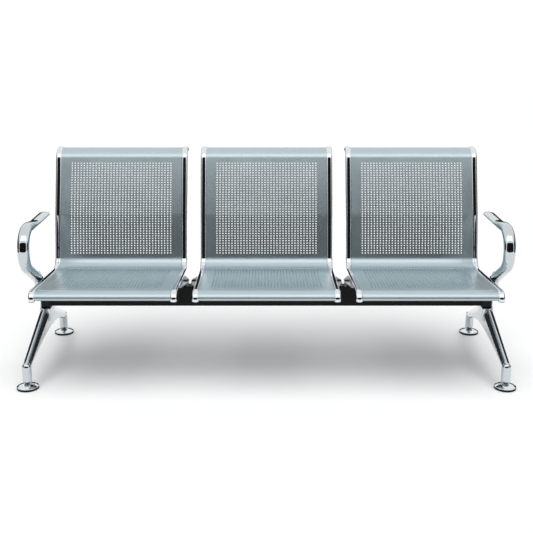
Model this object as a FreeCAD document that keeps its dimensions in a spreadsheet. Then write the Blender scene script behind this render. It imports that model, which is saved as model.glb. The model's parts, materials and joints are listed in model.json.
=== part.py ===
"""Three-seat beam bench: perforated steel seats on a black beam, two chromed leg castings.

Frame: millimetres, +Z up, origin on the floor in the middle of the four feet.
A sitter faces -Y, and the beam runs along X.
"""
import FreeCAD, Part
import math
import os

from FreeCAD import Placement, Rotation, Vector

doc = FreeCAD.newDocument("beam_bench")
sheet = doc.addObject("Spreadsheet::Sheet", "Sizes")
made = {}

# Driving sizes, in millimetres and degrees
SIZES = {
    # Seats along the beam
    "seat_width": 532.0,
    "seat_space": 54.0,
    "sheet_thickness": 1.5,
    # Side view of a seat, on the face that is sat on
    "seat_row_place": -222.0,
    "seat_height": 361.0,
    "seat_slope": 3.6,
    "nose_place": -283.0,
    "nose_bend": 35.0,
    "nose_lean": 30.0,
    "nose_drop": 39.5,
    "curl_bend": 10.0,
    "curl_lip": 30.0,
    "seat_bend": 55.0,
    "crease_place": 182.0,
    "crease_height": 542.0,
    "crease_bend": 60.0,
    "low_recline": 13.5,
    "high_recline": 18.4,
    "crest_height": 800.0,
    "crest_bend": 50.0,
    "crest_turn": 92.0,
    "crest_lip": 15.0,
    # Openings of the sheet: a plain grid that is as open as the punched holes
    "grid_opening": 14.5,
    "grid_side": 36.0,
    "seat_grid_front": 35.0,
    "seat_grid_rear": 20.0,
    "back_grid_low": 7.0,
    "back_grid_high": 18.0,
    # Chromed rails at both sides of a seat
    "rail_width": 24.0,
    "rail_depth": 18.0,
    "rail_corner": 5.5,
    "rail_wall": 1.5,
    "rail_proud": 3.5,
    "rail_nose_bend": 16.0,
    "rail_nose_turn": 45.0,
    "rail_nose_run": 1.0,
    "rail_nose_tail": 3.0,
    "plug_cap": 1.5,
    "nose_plug_reach": 2.8,
    "crest_plug_reach": 12.0,
    "plug_gap": 0.05,
    # Bars under the seat sheet
    "bar_width": 30.0,
    "bar_depth": 12.0,
    "bar_wall": 1.5,
    "front_bar_place": -185.0,
    "rear_bar_place": 62.0,
    # Beam
    "beam_past_seat": 7.0,
    "beam_top": 320.0,
    "beam_height": 80.0,
    "beam_depth": 40.0,
    "beam_place": -48.0,
    "beam_wall": 3.0,
    "beam_corner": 5.0,
    "end_flange": 4.0,
    "end_plug_reach": 30.0,
    # Brackets that carry the rails on the beam
    "bracket_front": -150.0,
    "bracket_rear": 40.0,
    "bracket_plate": 4.0,
    "bracket_foot": 22.0,
    "bracket_toe": 5.0,
    "bracket_taper": 3.0,
    "bracket_boss": 9.0,
    "spot_rim": 1.2,
    "spot_depth": 0.4,
    "bracket_screw_radius": 5.0,
    "screw_head_height": 6.4,
    "screw_head_flats": 17.0,
    "screw_tail": 4.0,
    "nut_height": 8.0,
    "screw_gap": 0.2,
    # Sleeve and leg casting at each end of the beam
    "sleeve_length": 35.0,
    "sleeve_wall": 5.0,
    "saddle_lip": 1.0,
    "cheek_thickness": 5.0,
    "cheek_drop": 10.0,
    "rear_wall": 8.5,
    "rear_wall_drop": 24.0,
    "saddle_gap": 0.3,
    "hub_height": 49.0,
    "hub_depth": 72.0,
    "leg_ridge": 8.0,
    "leg_edge": 4.0,
    "leg_thick_top": 40.0,
    "leg_thick_foot": 30.0,
    "leg_shoulder_top": 26.0,
    "leg_shoulder_foot": 14.3,
    "arch_peak": 143.0,
    "arch_power": 1.8,
    "ankle_height": 82.0,
    "foot_offset": 3.7,
    "foot_reach": 300.0,
    "socket_radius": 17.0,
    "leg_screw_radius": 4.0,
    "leg_screw_spread": 24.0,
    "leg_screw_inset": 14.0,
    "leg_screw_depth": 38.0,
    "leg_head_height": 5.3,
    "leg_head_flats": 13.0,
    # Arm rest
    "arm_offset": 6.7,
    "arm_width": 43.0,
    "arm_depth": 34.0,
    "arm_root_place": -50.0,
    "arm_root_rise": 25.0,
    "arm_low_place": -226.0,
    "arm_low_height": 445.0,
    "arm_low_bend": 78.0,
    "arm_high_place": -222.0,
    "arm_high_height": 566.0,
    "arm_high_bend": 74.0,
    "pad_start_place": -140.0,
    "pad_full_place": -50.0,
    "pad_tip_place": 78.0,
    "pad_rise": 4.0,
    "pad_width": 46.0,
    "pad_thickness": 14.0,
    "pad_shift": 6.0,
    "oval_fullness": 0.78,
    "lug_drop": 58.0,
    "lug_width": 54.0,
    "lug_thickness": 16.0,
    "lug_screw_low_drop": 40.0,
    "lug_screw_high_drop": 18.0,
    "lug_screw_length": 48.0,
    "lug_screw_radius": 4.0,
    "lug_head_radius": 6.5,
    "lug_head_height": 4.5,
    # Levelling feet
    "pad_radius": 38.0,
    "pad_height": 4.0,
    "pad_plug_height": 4.0,
    "cup_radius": 40.0,
    "cup_rim_height": 9.0,
    "cup_neck_radius": 12.0,
    "cup_height": 22.0,
    "cup_rim_round": 2.0,
    "stem_radius": 5.0,
    "stem_top": 84.0,
    "stem_room": 3.0,
    "stem_gap": 0.05,
    "stem_head_radius": 10.0,
    "stem_head_height": 7.4,
    "seat_gap": 0.3,
    "foot_nut_height": 5.0,
    "foot_nut_flats": 17.0,
    # Chamfers, and how far a cutting body runs past what it cuts
    "small_chamfer": 1.0,
    "past": 1.0,
}

# How many openings the grid has across, and how many rows in seat and back
GRID_ACROSS = 12
SEAT_GRID_ROWS = 10
BACK_GRID_ROWS = 11

# Places that follow from the driving sizes
FORMULAS = {
    "seat_pitch": "seat_width + seat_space",
    "beam_reach": "seat_pitch + seat_width / 2 + beam_past_seat",
    "beam_end": "beam_reach + end_flange",
    "beam_front": "beam_place - beam_depth / 2",
    "beam_rear": "beam_place + beam_depth / 2",
    "beam_bottom": "beam_top - beam_height",
    "sheet_width": "seat_width - 2 * rail_width",
    "rail_place": "(seat_width - rail_width) / 2",
    "grid_pitch": "(sheet_width - 2 * grid_side) / %d" % GRID_ACROSS,
    "saddle_height": "beam_bottom - sleeve_wall",
    "sleeve_inner": "beam_end - sleeve_length",
    "leg_inner": "sleeve_inner - saddle_lip",
    "cheek_inner": "beam_end + saddle_gap",
    "cheek_outer": "cheek_inner + cheek_thickness",
    "cheek_height": "beam_top - cheek_drop",
    "rear_wall_height": "beam_top - rear_wall_drop",
    "hub_bottom": "saddle_height - hub_height",
    "hub_front": "beam_place - hub_depth / 2",
    "hub_rear": "beam_place + hub_depth / 2",
    "leg_screw_place": "beam_reach - leg_screw_inset",
    "foot_spread": "cheek_outer + foot_offset",
    "socket_bottom": "cup_height + seat_gap + foot_nut_height",
    "arm_centre": "cheek_outer + arm_offset",
    "arm_root_height": "beam_top + arm_root_rise",
    "pad_tip_height": "arm_high_height + pad_rise",
    "lug_outer": "cheek_outer + lug_thickness",
    "lug_bottom": "beam_top - lug_drop",
    "lug_screw_low": "beam_top - lug_screw_low_drop",
    "lug_screw_high": "beam_top - lug_screw_high_drop",
}
for row, (alias, number) in enumerate(SIZES.items(), start=1):
    sheet.set("A%d" % row, alias)
    sheet.set("B%d" % row, str(number))
    sheet.setAlias("B%d" % row, alias)
for row, (alias, formula) in enumerate(FORMULAS.items(), start=1):
    sheet.set("D%d" % row, alias)
    sheet.set("E%d" % row, "=" + formula)
    sheet.setAlias("E%d" % row, alias)
doc.recompute()


def size(alias):
    """The value of a named cell of the sheet."""
    return float(getattr(sheet, alias))


def bind(thing, **expressions):
    """Tie properties of an object to cells; a double underscore stands for a dot."""
    for name, expression in expressions.items():
        thing.setExpression(name.replace("__", "."), expression)
    return thing


def place(thing, x="0", y="0", z="0"):
    """Tie the base point of an object's placement to cells."""
    return bind(thing, Placement__Base__x=x, Placement__Base__y=y, Placement__Base__z=z)


def keep(node, thing):
    """Name a finished sub-part; its label is the name of its file."""
    thing.Label = node
    made[node] = thing
    return thing


def cut(name, base, *tools):
    """Cut one or more tools out of a base."""
    for number, tool in enumerate(tools):
        step = doc.addObject("Part::Cut", "%s_cut%d" % (name, number))
        step.Base = base
        step.Tool = tool
        base = step
    return base


def fuse(name, *shapes):
    """Join solids that are cast, pressed or forged as one piece."""
    joined = doc.addObject("Part::MultiFuse", name + "_join")
    joined.Shapes = list(shapes)
    joined.Refine = True
    return joined


def group(name, *shapes):
    """Gather separate solids, such as a set of screws, in one sub-part."""
    gathered = doc.addObject("Part::Compound", name + "_set")
    gathered.Links = list(shapes)
    return gathered


def rod(name, radius, height, x, y, z, along=None):
    """A cylinder whose size and base are expressions of the sheet; it stands up unless turned."""
    cylinder = doc.addObject("Part::Cylinder", name)
    bind(cylinder, Radius=radius, Height=height)
    if along is not None:
        cylinder.Placement = Placement(Vector(), Rotation(Vector(0, 0, 1), along))
    return place(cylinder, x, y, z)


def hexagon(name, flats, height, x, y, z):
    """A hexagonal head or nut that stands up."""
    prism = doc.addObject("Part::Prism", name)
    prism.Polygon = 6
    bind(prism, Circumradius="%s / 2 / cos(30)" % flats, Height=height)
    return place(prism, x, y, z)


def point_at(start, angle, distance):
    """A point of the side view, from a start, in a direction in degrees."""
    turn = math.radians(angle)
    return (start[0] + distance * math.cos(turn), start[1] + distance * math.sin(turn))


def crossing(first, first_angle, second, second_angle):
    """The point of the side view where two lines meet."""
    ax = math.cos(math.radians(first_angle))
    az = math.sin(math.radians(first_angle))
    bx = math.cos(math.radians(second_angle))
    bz = math.sin(math.radians(second_angle))
    wide = second[0] - first[0]
    high = second[1] - first[1]
    along = (wide * bz - high * bx) / (ax * bz - az * bx)
    return (first[0] + along * ax, first[1] + along * az)


def heading(start, end):
    """The direction from one point of the side view to another, in degrees."""
    return math.degrees(math.atan2(end[1] - start[1], end[0] - start[0]))


def swing(first, second):
    """The signed turn from one direction to the next, in degrees."""
    return (second - first + 180.0) % 360.0 - 180.0


def bent_line(corners, bends, shift=0.0):
    """Straight runs joined by tangent arcs, shifted to the left of the line by shift.

    The result is a list of pieces: two points for a run, three for an arc.
    """
    angles = [heading(a, b) for a, b in zip(corners, corners[1:])]
    moved = [point_at(corners[0], angles[0] + 90.0, shift)]
    for index, corner in enumerate(corners[1:-1]):
        before = point_at(corner, angles[index] + 90.0, shift)
        after = point_at(corner, angles[index + 1] + 90.0, shift)
        moved.append(crossing(before, angles[index], after, angles[index + 1]))
    moved.append(point_at(corners[-1], angles[-1] + 90.0, shift))
    pieces = []
    last = moved[0]
    for index, corner in enumerate(moved[1:-1]):
        turn = swing(angles[index], angles[index + 1])
        radius = bends[index] - shift * math.copysign(1.0, turn)
        reach = radius * math.tan(math.radians(abs(turn)) / 2.0)
        start = point_at(corner, angles[index] + 180.0, reach)
        end = point_at(corner, angles[index + 1], reach)
        side = math.copysign(90.0, turn)
        centre = point_at(start, angles[index] + side, radius)
        middle = point_at(centre, angles[index] - side + turn / 2.0, radius)
        pieces.append((last, start))
        pieces.append((start, middle, end))
        last = end
    pieces.append((last, moved[-1]))
    return pieces


def arc_turn(piece):
    """How far an arc turns, in degrees; a run doesn't turn."""
    if len(piece) == 2:
        return 0.0
    return 2.0 * swing(heading(piece[0], piece[1]), heading(piece[1], piece[2]))


def arc_radius(piece):
    """Radius of an arc."""
    return math.dist(piece[0], piece[-1]) / (2.0 * math.sin(math.radians(abs(arc_turn(piece))) / 2.0))


def piece_length(piece):
    """Length along a run or an arc."""
    if len(piece) == 2:
        return math.dist(*piece)
    return arc_radius(piece) * math.radians(abs(arc_turn(piece)))


def spot_along(pieces, distance):
    """A point at a distance along a line, and the direction there."""
    for piece in pieces[:-1]:
        if distance <= piece_length(piece):
            break
        distance -= piece_length(piece)
    else:
        piece = pieces[-1]
    if len(piece) == 2:
        return point_at(piece[0], heading(*piece), distance), heading(*piece)
    turn = math.copysign(math.degrees(distance / arc_radius(piece)), arc_turn(piece))
    first = heading(piece[0], piece[1]) - arc_turn(piece) / 4.0
    chord = 2.0 * arc_radius(piece) * math.sin(math.radians(abs(turn)) / 2.0)
    return point_at(piece[0], first + turn / 2.0, chord), first + turn


def reversed_line(pieces):
    """The same line, run from its end to its start."""
    return [tuple(reversed(piece)) for piece in reversed(pieces)]


def sketch_curve(piece):
    """One sketch curve for a run or an arc of a side view."""
    if len(piece) == 2:
        return Part.LineSegment(Vector(*piece[0], 0), Vector(*piece[1], 0))
    start, middle, end = (Vector(*point, 0) for point in piece)
    circle = Part.Arc(start, middle, end).toShape().Curve
    centre = circle.Center
    flat = Part.Circle(centre, Vector(0, 0, 1), circle.Radius)
    first = math.atan2(start.y - centre.y, start.x - centre.x)
    last = math.atan2(end.y - centre.y, end.x - centre.x)
    anticlockwise = (middle - start).cross(end - middle).z > 0
    if not anticlockwise:
        first, last = last, first
    return Part.ArcOfCircle(flat, first, last)


def loop_of(points):
    """A closed outline of straight runs."""
    return [(a, b) for a, b in zip(points, points[1:] + points[:1])]


def rounded_loop(width, height, corner, centre=(0.0, 0.0)):
    """A closed rounded rectangle about a centre."""
    left = centre[0] - width / 2.0
    low = centre[1] - height / 2.0
    corners = [
        (centre[0], low),
        (left + width, low),
        (left + width, low + height),
        (left, low + height),
        (left, low),
        (centre[0], low),
    ]
    return bent_line(corners, [corner] * 4)


def origin_plane(body, role):
    """The named origin plane of a body."""
    return next(item for item in body.Origin.OriginFeatures if item.Role == role)


def sketch_in(body, name, role, loops):
    """A sketch of closed outlines on an origin plane of its own body."""
    sketch = body.newObject("Sketcher::SketchObject", name)
    sketch.AttachmentSupport = [(origin_plane(body, role), "")]
    sketch.MapMode = "FlatFace"
    for loop in loops:
        for piece in loop:
            sketch.addGeometry(sketch_curve(piece), False)
    return sketch


def padded_body(name, role, loops, length):
    """A body padded evenly to both sides of its sketch."""
    body = doc.addObject("PartDesign::Body", name)
    sketch = sketch_in(body, name + "_outline", role, loops)
    pad = body.newObject("PartDesign::Pad", name + "_pad")
    pad.Profile = sketch
    pad.Midplane = True
    bind(pad, Length=length)
    return body


def turned_body(name, outline):
    """A body turned about the upright axis from a closed outline of radius and height."""
    body = doc.addObject("PartDesign::Body", name)
    sketch = sketch_in(body, name + "_outline", "XZ_Plane", [outline])
    turn = body.newObject("PartDesign::Revolution", name + "_turn")
    turn.Profile = sketch
    turn.ReferenceAxis = (sketch, ["V_Axis"])
    turn.Angle = 360.0
    return body


def loose_sketch(name, pieces, placement):
    """A sketch that stands by itself, for a path or a section."""
    sketch = doc.addObject("Sketcher::SketchObject", name)
    for piece in pieces:
        sketch.addGeometry(sketch_curve(piece), False)
    sketch.Placement = placement
    return sketch


# A sketch turned this way has its X along +Y and its Y along +Z
SIDE_VIEW = Rotation(Vector(0, 1, 0), Vector(0, 0, 1), Vector(1, 0, 0), "ZXY")


def section_turn(angle):
    """A section square to a side-view direction: its X lies along X, its Y to the left."""
    turn = math.radians(angle)
    left = Vector(0, -math.sin(turn), math.cos(turn))
    along = Vector(0, math.cos(turn), math.sin(turn))
    return Rotation(Vector(1, 0, 0), left, along, "ZXY")


def swept(name, pieces, section_loop):
    """A solid swept along a side-view line from a section drawn about its start."""
    path = loose_sketch(name + "_path", pieces, Placement(Vector(), SIDE_VIEW))
    start = pieces[0][0]
    stand = Placement(Vector(0, *start), section_turn(heading(*pieces[0][:2])))
    section = loose_sketch(name + "_section", section_loop, stand)
    sweep = doc.addObject("Part::Sweep", name)
    sweep.Sections = [section]
    sweep.Spine = (path, ["Edge%d" % (number + 1) for number in range(len(pieces))])
    sweep.Solid = True
    sweep.Frenet = False
    return sweep


# Corners of the seat's side view, worked out from the driving sizes
SEAT_ANGLE = -size("seat_slope")
LOW_ANGLE = 90.0 - size("low_recline")
HIGH_ANGLE = 90.0 - size("high_recline")
CREST_ANGLE = HIGH_ANGLE - size("crest_turn")
FACE_ANGLE = 90.0 - size("nose_lean")


def seat_height_at(place_y, shift=0.0):
    """Height of the flat of the seat, or of a line shifted off it, at a place along Y."""
    slope = math.radians(size("seat_slope"))
    run = place_y - size("seat_row_place")
    return size("seat_height") - math.tan(slope) * run + shift / math.cos(slope)


def seat_corners():
    """Corners of the sheet, from the curl under the nose to the lip behind the crest."""
    nose = (size("nose_place"), seat_height_at(size("nose_place")))
    curl = point_at(nose, FACE_ANGLE + 180.0, size("nose_drop"))
    tail = point_at(curl, 0.0, size("curl_lip"))
    crease = (size("crease_place"), size("crease_height"))
    heel = crossing(nose, SEAT_ANGLE, crease, LOW_ANGLE)
    rise = size("crest_bend") * (1.0 - math.cos(math.radians(HIGH_ANGLE)))
    climb = size("crest_height") - rise - crease[1]
    top = point_at(crease, HIGH_ANGLE, climb / math.sin(math.radians(HIGH_ANGLE)))
    reach = size("crest_bend") * math.tan(math.radians(size("crest_turn")) / 2.0)
    crest = point_at(top, HIGH_ANGLE, reach)
    lip = point_at(crest, CREST_ANGLE, reach + size("crest_lip"))
    return [tail, curl, nose, heel, crease, crest, lip]


def rail_corners():
    """Corners of a rail's line: as the sheet's, but it only starts to turn under at the nose."""
    corners = seat_corners()
    turn = size("rail_nose_turn")
    nose_reach = size("nose_bend") * math.tan(math.radians(FACE_ANGLE - SEAT_ANGLE) / 2.0)
    reach = size("rail_nose_bend") * math.tan(math.radians(turn) / 2.0)
    bottom = point_at(
        corners[2], FACE_ANGLE + 180.0, nose_reach + size("rail_nose_run") + reach)
    end = point_at(bottom, FACE_ANGLE + 180.0 + turn, reach + size("rail_nose_tail"))
    return [end, bottom] + corners[2:]


SHEET_BENDS = [
    size("curl_bend"),
    size("nose_bend"),
    size("seat_bend"),
    size("crease_bend"),
    size("crest_bend"),
]
RAIL_BENDS = [size("rail_nose_bend")] + SHEET_BENDS[1:]
RAIL_SHIFT = size("rail_proud") - size("rail_depth") / 2.0
RAIL_UNDER = size("rail_proud") - size("rail_depth")

SEATS = {"left": "-Sizes.seat_pitch", "middle": "0", "right": "Sizes.seat_pitch"}
SIDES = {"left": -1, "right": 1}


def grid_rows(upper):
    """Side views of the grid's rows, one rectangle through the sheet for each."""
    ends = [0.0]
    for piece in upper:
        ends.append(ends[-1] + piece_length(piece))
    nose_end, heel_start, heel_end, crest_start = ends[4], ends[5], ends[6], ends[9]
    fields = (
        (nose_end + size("seat_grid_front"), heel_start + size("seat_grid_rear"), SEAT_GRID_ROWS),
        (heel_end + size("back_grid_low"), crest_start - size("back_grid_high"), BACK_GRID_ROWS),
    )
    half = size("grid_opening") / 2.0
    above = size("past")
    below = -size("sheet_thickness") - size("past")
    rows = []
    for first, last, count in fields:
        pitch = (last - first) / count
        for row in range(count):
            middle, angle = spot_along(upper, first + (row + 0.5) * pitch)
            sides = [point_at(middle, angle, reach) for reach in (-half, half)]
            rows.append(loop_of([
                point_at(sides[0], angle + 90.0, below),
                point_at(sides[1], angle + 90.0, below),
                point_at(sides[1], angle + 90.0, above),
                point_at(sides[0], angle + 90.0, above),
            ]))
    return rows


def punch_grid(body, name, rows):
    """Cut one column of openings at the left of a sheet, and repeat it across."""
    sketch = sketch_in(body, name + "_rows", "YZ_Plane", rows)
    bind(sketch, AttachmentOffset__Base__z="-Sizes.grid_pitch * %s" % ((GRID_ACROSS - 1) / 2.0))
    column = body.newObject("PartDesign::Pocket", name + "_column")
    column.Profile = sketch
    column.Midplane = True
    bind(column, Length="Sizes.grid_opening")
    across = body.newObject("PartDesign::LinearPattern", name + "_grid")
    across.Originals = [column]
    across.Direction = (sketch, ["N_Axis"])
    across.Occurrences = GRID_ACROSS
    bind(across, Length="Sizes.grid_pitch * %d" % (GRID_ACROSS - 1))
    body.Tip = across


def seat_sheet(node, centre):
    """The bent steel sheet that is both seat and back."""
    upper = bent_line(seat_corners(), SHEET_BENDS)
    lower = bent_line(seat_corners(), SHEET_BENDS, -size("sheet_thickness"))
    ends = [(upper[-1][-1], lower[-1][-1]), (lower[0][0], upper[0][0])]
    outline = upper + ends[:1] + reversed_line(lower) + ends[1:]
    body = padded_body(node + "_body", "YZ_Plane", [outline], "Sizes.sheet_width")
    punch_grid(body, node, grid_rows(upper))
    place(body, centre)
    return keep(node, body)


def rail_middle(centre, side):
    """Expression for the X of a rail's middle."""
    return "(%s + %d * Sizes.rail_place)" % (centre, side)


def rail(node, centre, side):
    """A chromed oval tube that follows the side of the sheet."""
    line = bent_line(rail_corners(), RAIL_BENDS, RAIL_SHIFT)
    outer = rounded_loop(size("rail_width"), size("rail_depth"), size("rail_corner"))
    wall = size("rail_wall")
    bore_width = size("rail_width") - 2.0 * wall
    bore_depth = size("rail_depth") - 2.0 * wall
    inner = rounded_loop(bore_width, bore_depth, size("rail_corner") - wall)
    skin = swept(node + "_skin", line, outer)
    core = swept(node + "_core", line, inner)
    tube = cut(node, skin, core)
    place(tube, rail_middle(centre, side))
    return keep(node, tube)


def rail_plug(name, base, angle, reach, centre, side):
    """A plastic plug in one end of a rail; angle points out of the tube."""
    wall = size("rail_wall") + size("plug_gap")
    stem_loop = rounded_loop(
        size("rail_width") - 2.0 * wall,
        size("rail_depth") - 2.0 * wall,
        size("rail_corner") - wall,
    )
    cap_loop = rounded_loop(size("rail_width"), size("rail_depth"), size("rail_corner"))
    inside = point_at(base, angle + 180.0, reach)
    outside = point_at(base, angle, size("plug_cap"))
    stem = swept(name + "_stem", [(inside, base)], stem_loop)
    cap = swept(name + "_cap", [(base, outside)], cap_loop)
    plug = fuse(name, stem, cap)
    return place(plug, rail_middle(centre, side))


def rail_plugs(node, centre):
    """The four plugs of one seat's rails."""
    line = bent_line(rail_corners(), RAIL_BENDS, RAIL_SHIFT)
    plugs = []
    for side_name, side in SIDES.items():
        low = rail_plug(
            "%s_%s_low" % (node, side_name), line[0][0], heading(line[0][1], line[0][0]),
            size("nose_plug_reach"), centre, side)
        high = rail_plug(
            "%s_%s_high" % (node, side_name), line[-1][1], heading(*line[-1]),
            size("crest_plug_reach"), centre, side)
        plugs += [low, high]
    return keep(node, group(node, *plugs))


def cross_bar(node, centre, bar_place):
    """A flat tube under the sheet, welded between the rails."""
    top = -size("sheet_thickness")
    middle = top - size("bar_depth") / 2.0
    wall = size("bar_wall")
    outer = rounded_loop(size("bar_width"), size("bar_depth"), 2.0 * wall)
    inner = rounded_loop(size("bar_width") - 2.0 * wall, size("bar_depth") - 2.0 * wall, wall)
    body = padded_body(node + "_body", "YZ_Plane", [outer, inner], "Sizes.sheet_width")
    stand = Vector(0, size(bar_place), seat_height_at(size(bar_place), middle))
    body.Placement = Placement(stand, Rotation(Vector(1, 0, 0), SEAT_ANGLE))
    bind(body, Placement__Base__x=centre)
    return keep(node, body)


def bracket_side(seat, side_name):
    """Which way a bracket's foot points: into the gap between seats, or inward at the ends."""
    if seat == side_name:
        return -SIDES[side_name]
    return SIDES[side_name]


def bracket_screw_x(seat, side_name):
    """Expression for the X of the screw that holds a bracket on the beam."""
    foot = bracket_side(seat, side_name)
    middle = rail_middle(SEATS[seat], SIDES[side_name])
    return "(%s + %d * (Sizes.rail_width + Sizes.bracket_foot) / 2)" % (middle, foot)


def prism_of(name, points, role, length):
    """A body padded from a straight-sided outline."""
    return padded_body(name, role, [loop_of(points)], length)


def bracket(node, seat, side_name):
    """A pressed channel on top of the beam, with a flange that is welded under a rail."""
    foot = bracket_side(seat, side_name)
    front = size("bracket_front")
    rear = size("bracket_rear")
    toe = size("bracket_toe")
    plate = size("bracket_plate")
    low = size("beam_top")
    beam_front = size("beam_front") - toe
    beam_rear = size("beam_rear") + toe
    top_front = seat_height_at(front, RAIL_UNDER)
    top_rear = seat_height_at(rear, RAIL_UNDER)
    side_view = [
        (front, top_front),
        (front, top_front - plate),
        (beam_front, low),
        (beam_rear, low),
        (rear, top_rear - plate),
        (rear, top_rear),
    ]
    hollow_view = [
        (front - plate, seat_height_at(front - plate, RAIL_UNDER - plate)),
        (front - plate, low - plate),
        (rear + plate, low - plate),
        (rear + plate, seat_height_at(rear + plate, RAIL_UNDER - plate)),
    ]
    half = size("rail_width") / 2.0
    tip = half + size("bracket_taper")
    wide = half + size("bracket_foot")
    plan = [
        (-foot * half, front),
        (foot * tip, front),
        (foot * wide, beam_front),
        (foot * wide, beam_rear),
        (foot * tip, rear),
        (-foot * half, rear),
    ]
    blank = "4 * Sizes.bracket_foot + 2 * Sizes.rail_width"
    skin = prism_of(node + "_skin", side_view, "YZ_Plane", blank)
    outline = prism_of(node + "_plan", plan, "XY_Plane", "4 * Sizes.beam_top")
    solid = doc.addObject("Part::Common", node + "_solid")
    solid.Base = skin
    solid.Tool = outline
    hollow = prism_of(
        node + "_hollow", hollow_view, "YZ_Plane", "Sizes.bracket_foot - 2 * Sizes.bracket_plate")
    place(hollow, "%d * (Sizes.rail_width + Sizes.bracket_foot) / 2" % foot)
    relief = prism_of(node + "_relief", hollow_view, "YZ_Plane", "Sizes.rail_width")
    screw_x = "%d * (Sizes.rail_width + Sizes.bracket_foot) / 2" % foot
    screw_y = "Sizes.beam_place"
    spot = rod(
        node + "_spot", "Sizes.bracket_boss + Sizes.spot_rim", "Sizes.beam_top",
        screw_x, screw_y, spot_level())
    boss_height = "%s - Sizes.bracket_plate / 2 - Sizes.beam_top" % spot_level()
    boss = rod(node + "_boss", "Sizes.bracket_boss", boss_height, screw_x, screw_y, "Sizes.beam_top")
    hole = rod(
        node + "_hole", "Sizes.bracket_screw_radius + Sizes.screw_gap", "Sizes.beam_top",
        screw_x, screw_y, "Sizes.beam_top - Sizes.screw_tail")
    channel = cut(node + "_channel", solid, hollow, relief)
    whole = cut(node, fuse(node, channel, boss), spot, hole)
    place(whole, rail_middle(SEATS[seat], SIDES[side_name]))
    return keep(node, whole)


def spot_level():
    """Expression for the height of the flat that a bracket screw's head bears on."""
    slope = "tan(Sizes.seat_slope)"
    edge = "(Sizes.beam_place + Sizes.bracket_boss + Sizes.spot_rim - Sizes.seat_row_place)"
    under = "(Sizes.rail_proud - Sizes.rail_depth) / cos(Sizes.seat_slope)"
    return "(Sizes.seat_height - %s * %s + %s - Sizes.spot_depth)" % (slope, edge, under)


def bracket_screws(node, seat):
    """Hexagon screws that hold both brackets of a seat, with their nuts inside the beam."""
    pieces = []
    for side_name in SIDES:
        name = "%s_%s" % (node, side_name)
        x = bracket_screw_x(seat, side_name)
        y = "Sizes.beam_place"
        nut_low = "(Sizes.beam_top - Sizes.beam_wall - Sizes.nut_height)"
        low = "(%s - Sizes.screw_tail)" % nut_low
        shank = rod(
            name + "_shank", "Sizes.bracket_screw_radius", "%s - %s" % (spot_level(), low), x, y, low)
        head = hexagon(
            name + "_head", "Sizes.screw_head_flats", "Sizes.screw_head_height", x, y, spot_level())
        nut = hexagon(name + "_nut", "Sizes.screw_head_flats", "Sizes.nut_height", x, y, nut_low)
        bore = rod(
            name + "_bore", "Sizes.bracket_screw_radius + Sizes.stem_gap", "Sizes.beam_height", x, y, low)
        pieces += [fuse(name, shank, head), cut(name + "_nut", nut, bore)]
    return keep(node, group(node, *pieces))


def beam(node):
    """The black rectangular tube that carries everything."""
    wall = size("beam_wall")
    middle = (size("beam_place"), size("beam_top") - size("beam_height") / 2.0)
    outer = rounded_loop(size("beam_depth"), size("beam_height"), size("beam_corner"), middle)
    inner = rounded_loop(
        size("beam_depth") - 2.0 * wall, size("beam_height") - 2.0 * wall,
        size("beam_corner") - wall, middle)
    body = padded_body(node + "_tube", "YZ_Plane", [outer, inner], "2 * Sizes.beam_reach")
    drills = []
    for seat in SEATS:
        for side_name in SIDES:
            drills.append(rod(
                "%s_drill_%s_%s" % (node, seat, side_name),
                "Sizes.bracket_screw_radius + Sizes.screw_gap", "Sizes.beam_height",
                bracket_screw_x(seat, side_name), "Sizes.beam_place",
                "Sizes.beam_top - 2 * Sizes.beam_wall"))
    for side_name, side in SIDES.items():
        for end in (-1, 1):
            drills.append(leg_screw_drill("%s_%s_%d" % (node, side_name, end), side, end))
    return keep(node, cut(node, body, group(node + "_drills", *drills)))


def leg_screw_drill(name, side, end):
    """A clearance hole for one of the screws that hold the beam on a leg."""
    x = "%d * Sizes.leg_screw_place" % side
    y = "Sizes.beam_place + %d * Sizes.leg_screw_spread / 2" % end
    radius = "Sizes.leg_screw_radius + Sizes.screw_gap"
    low = "Sizes.saddle_height - Sizes.leg_screw_depth"
    return rod(name.replace("-", "m") + "_drill", radius, "Sizes.beam_top", x, y, low)


def lug_screw_drill(name, side, height):
    """A level hole for one of the screws that hold an arm rest on the end of the beam."""
    along = Vector(side, 0, 0)
    x = "%d * (Sizes.lug_outer - Sizes.lug_screw_length)" % side
    radius = "Sizes.lug_screw_radius + Sizes.screw_gap"
    return rod(name, radius, "2 * Sizes.lug_screw_length", x, "Sizes.beam_place", height, along)


def end_plug(node, side):
    """A block that fills the end of the beam, with a flange that covers the tube's end."""
    wall = size("beam_wall")
    middle = (size("beam_place"), size("beam_top") - size("beam_height") / 2.0)
    face = rounded_loop(size("beam_depth"), size("beam_height"), size("beam_corner"), middle)
    fill = rounded_loop(
        size("beam_depth") - 2.0 * wall, size("beam_height") - 2.0 * wall,
        size("beam_corner") - wall, middle)
    flange = padded_body(node + "_flange", "YZ_Plane", [face], "Sizes.end_flange")
    place(flange, "%d * (Sizes.beam_reach + Sizes.end_flange / 2)" % side)
    core = padded_body(node + "_core", "YZ_Plane", [fill], "Sizes.end_plug_reach")
    place(core, "%d * (Sizes.beam_reach - Sizes.end_plug_reach / 2)" % side)
    drills = [leg_screw_drill("%s_%d" % (node, end), side, end) for end in (-1, 1)]
    drills += [
        lug_screw_drill(node + "_low_drill", side, "Sizes.lug_screw_low"),
        lug_screw_drill(node + "_high_drill", side, "Sizes.lug_screw_high"),
    ]
    return keep(node, cut(node, fuse(node, flange, core), group(node + "_drills", *drills)))


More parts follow.
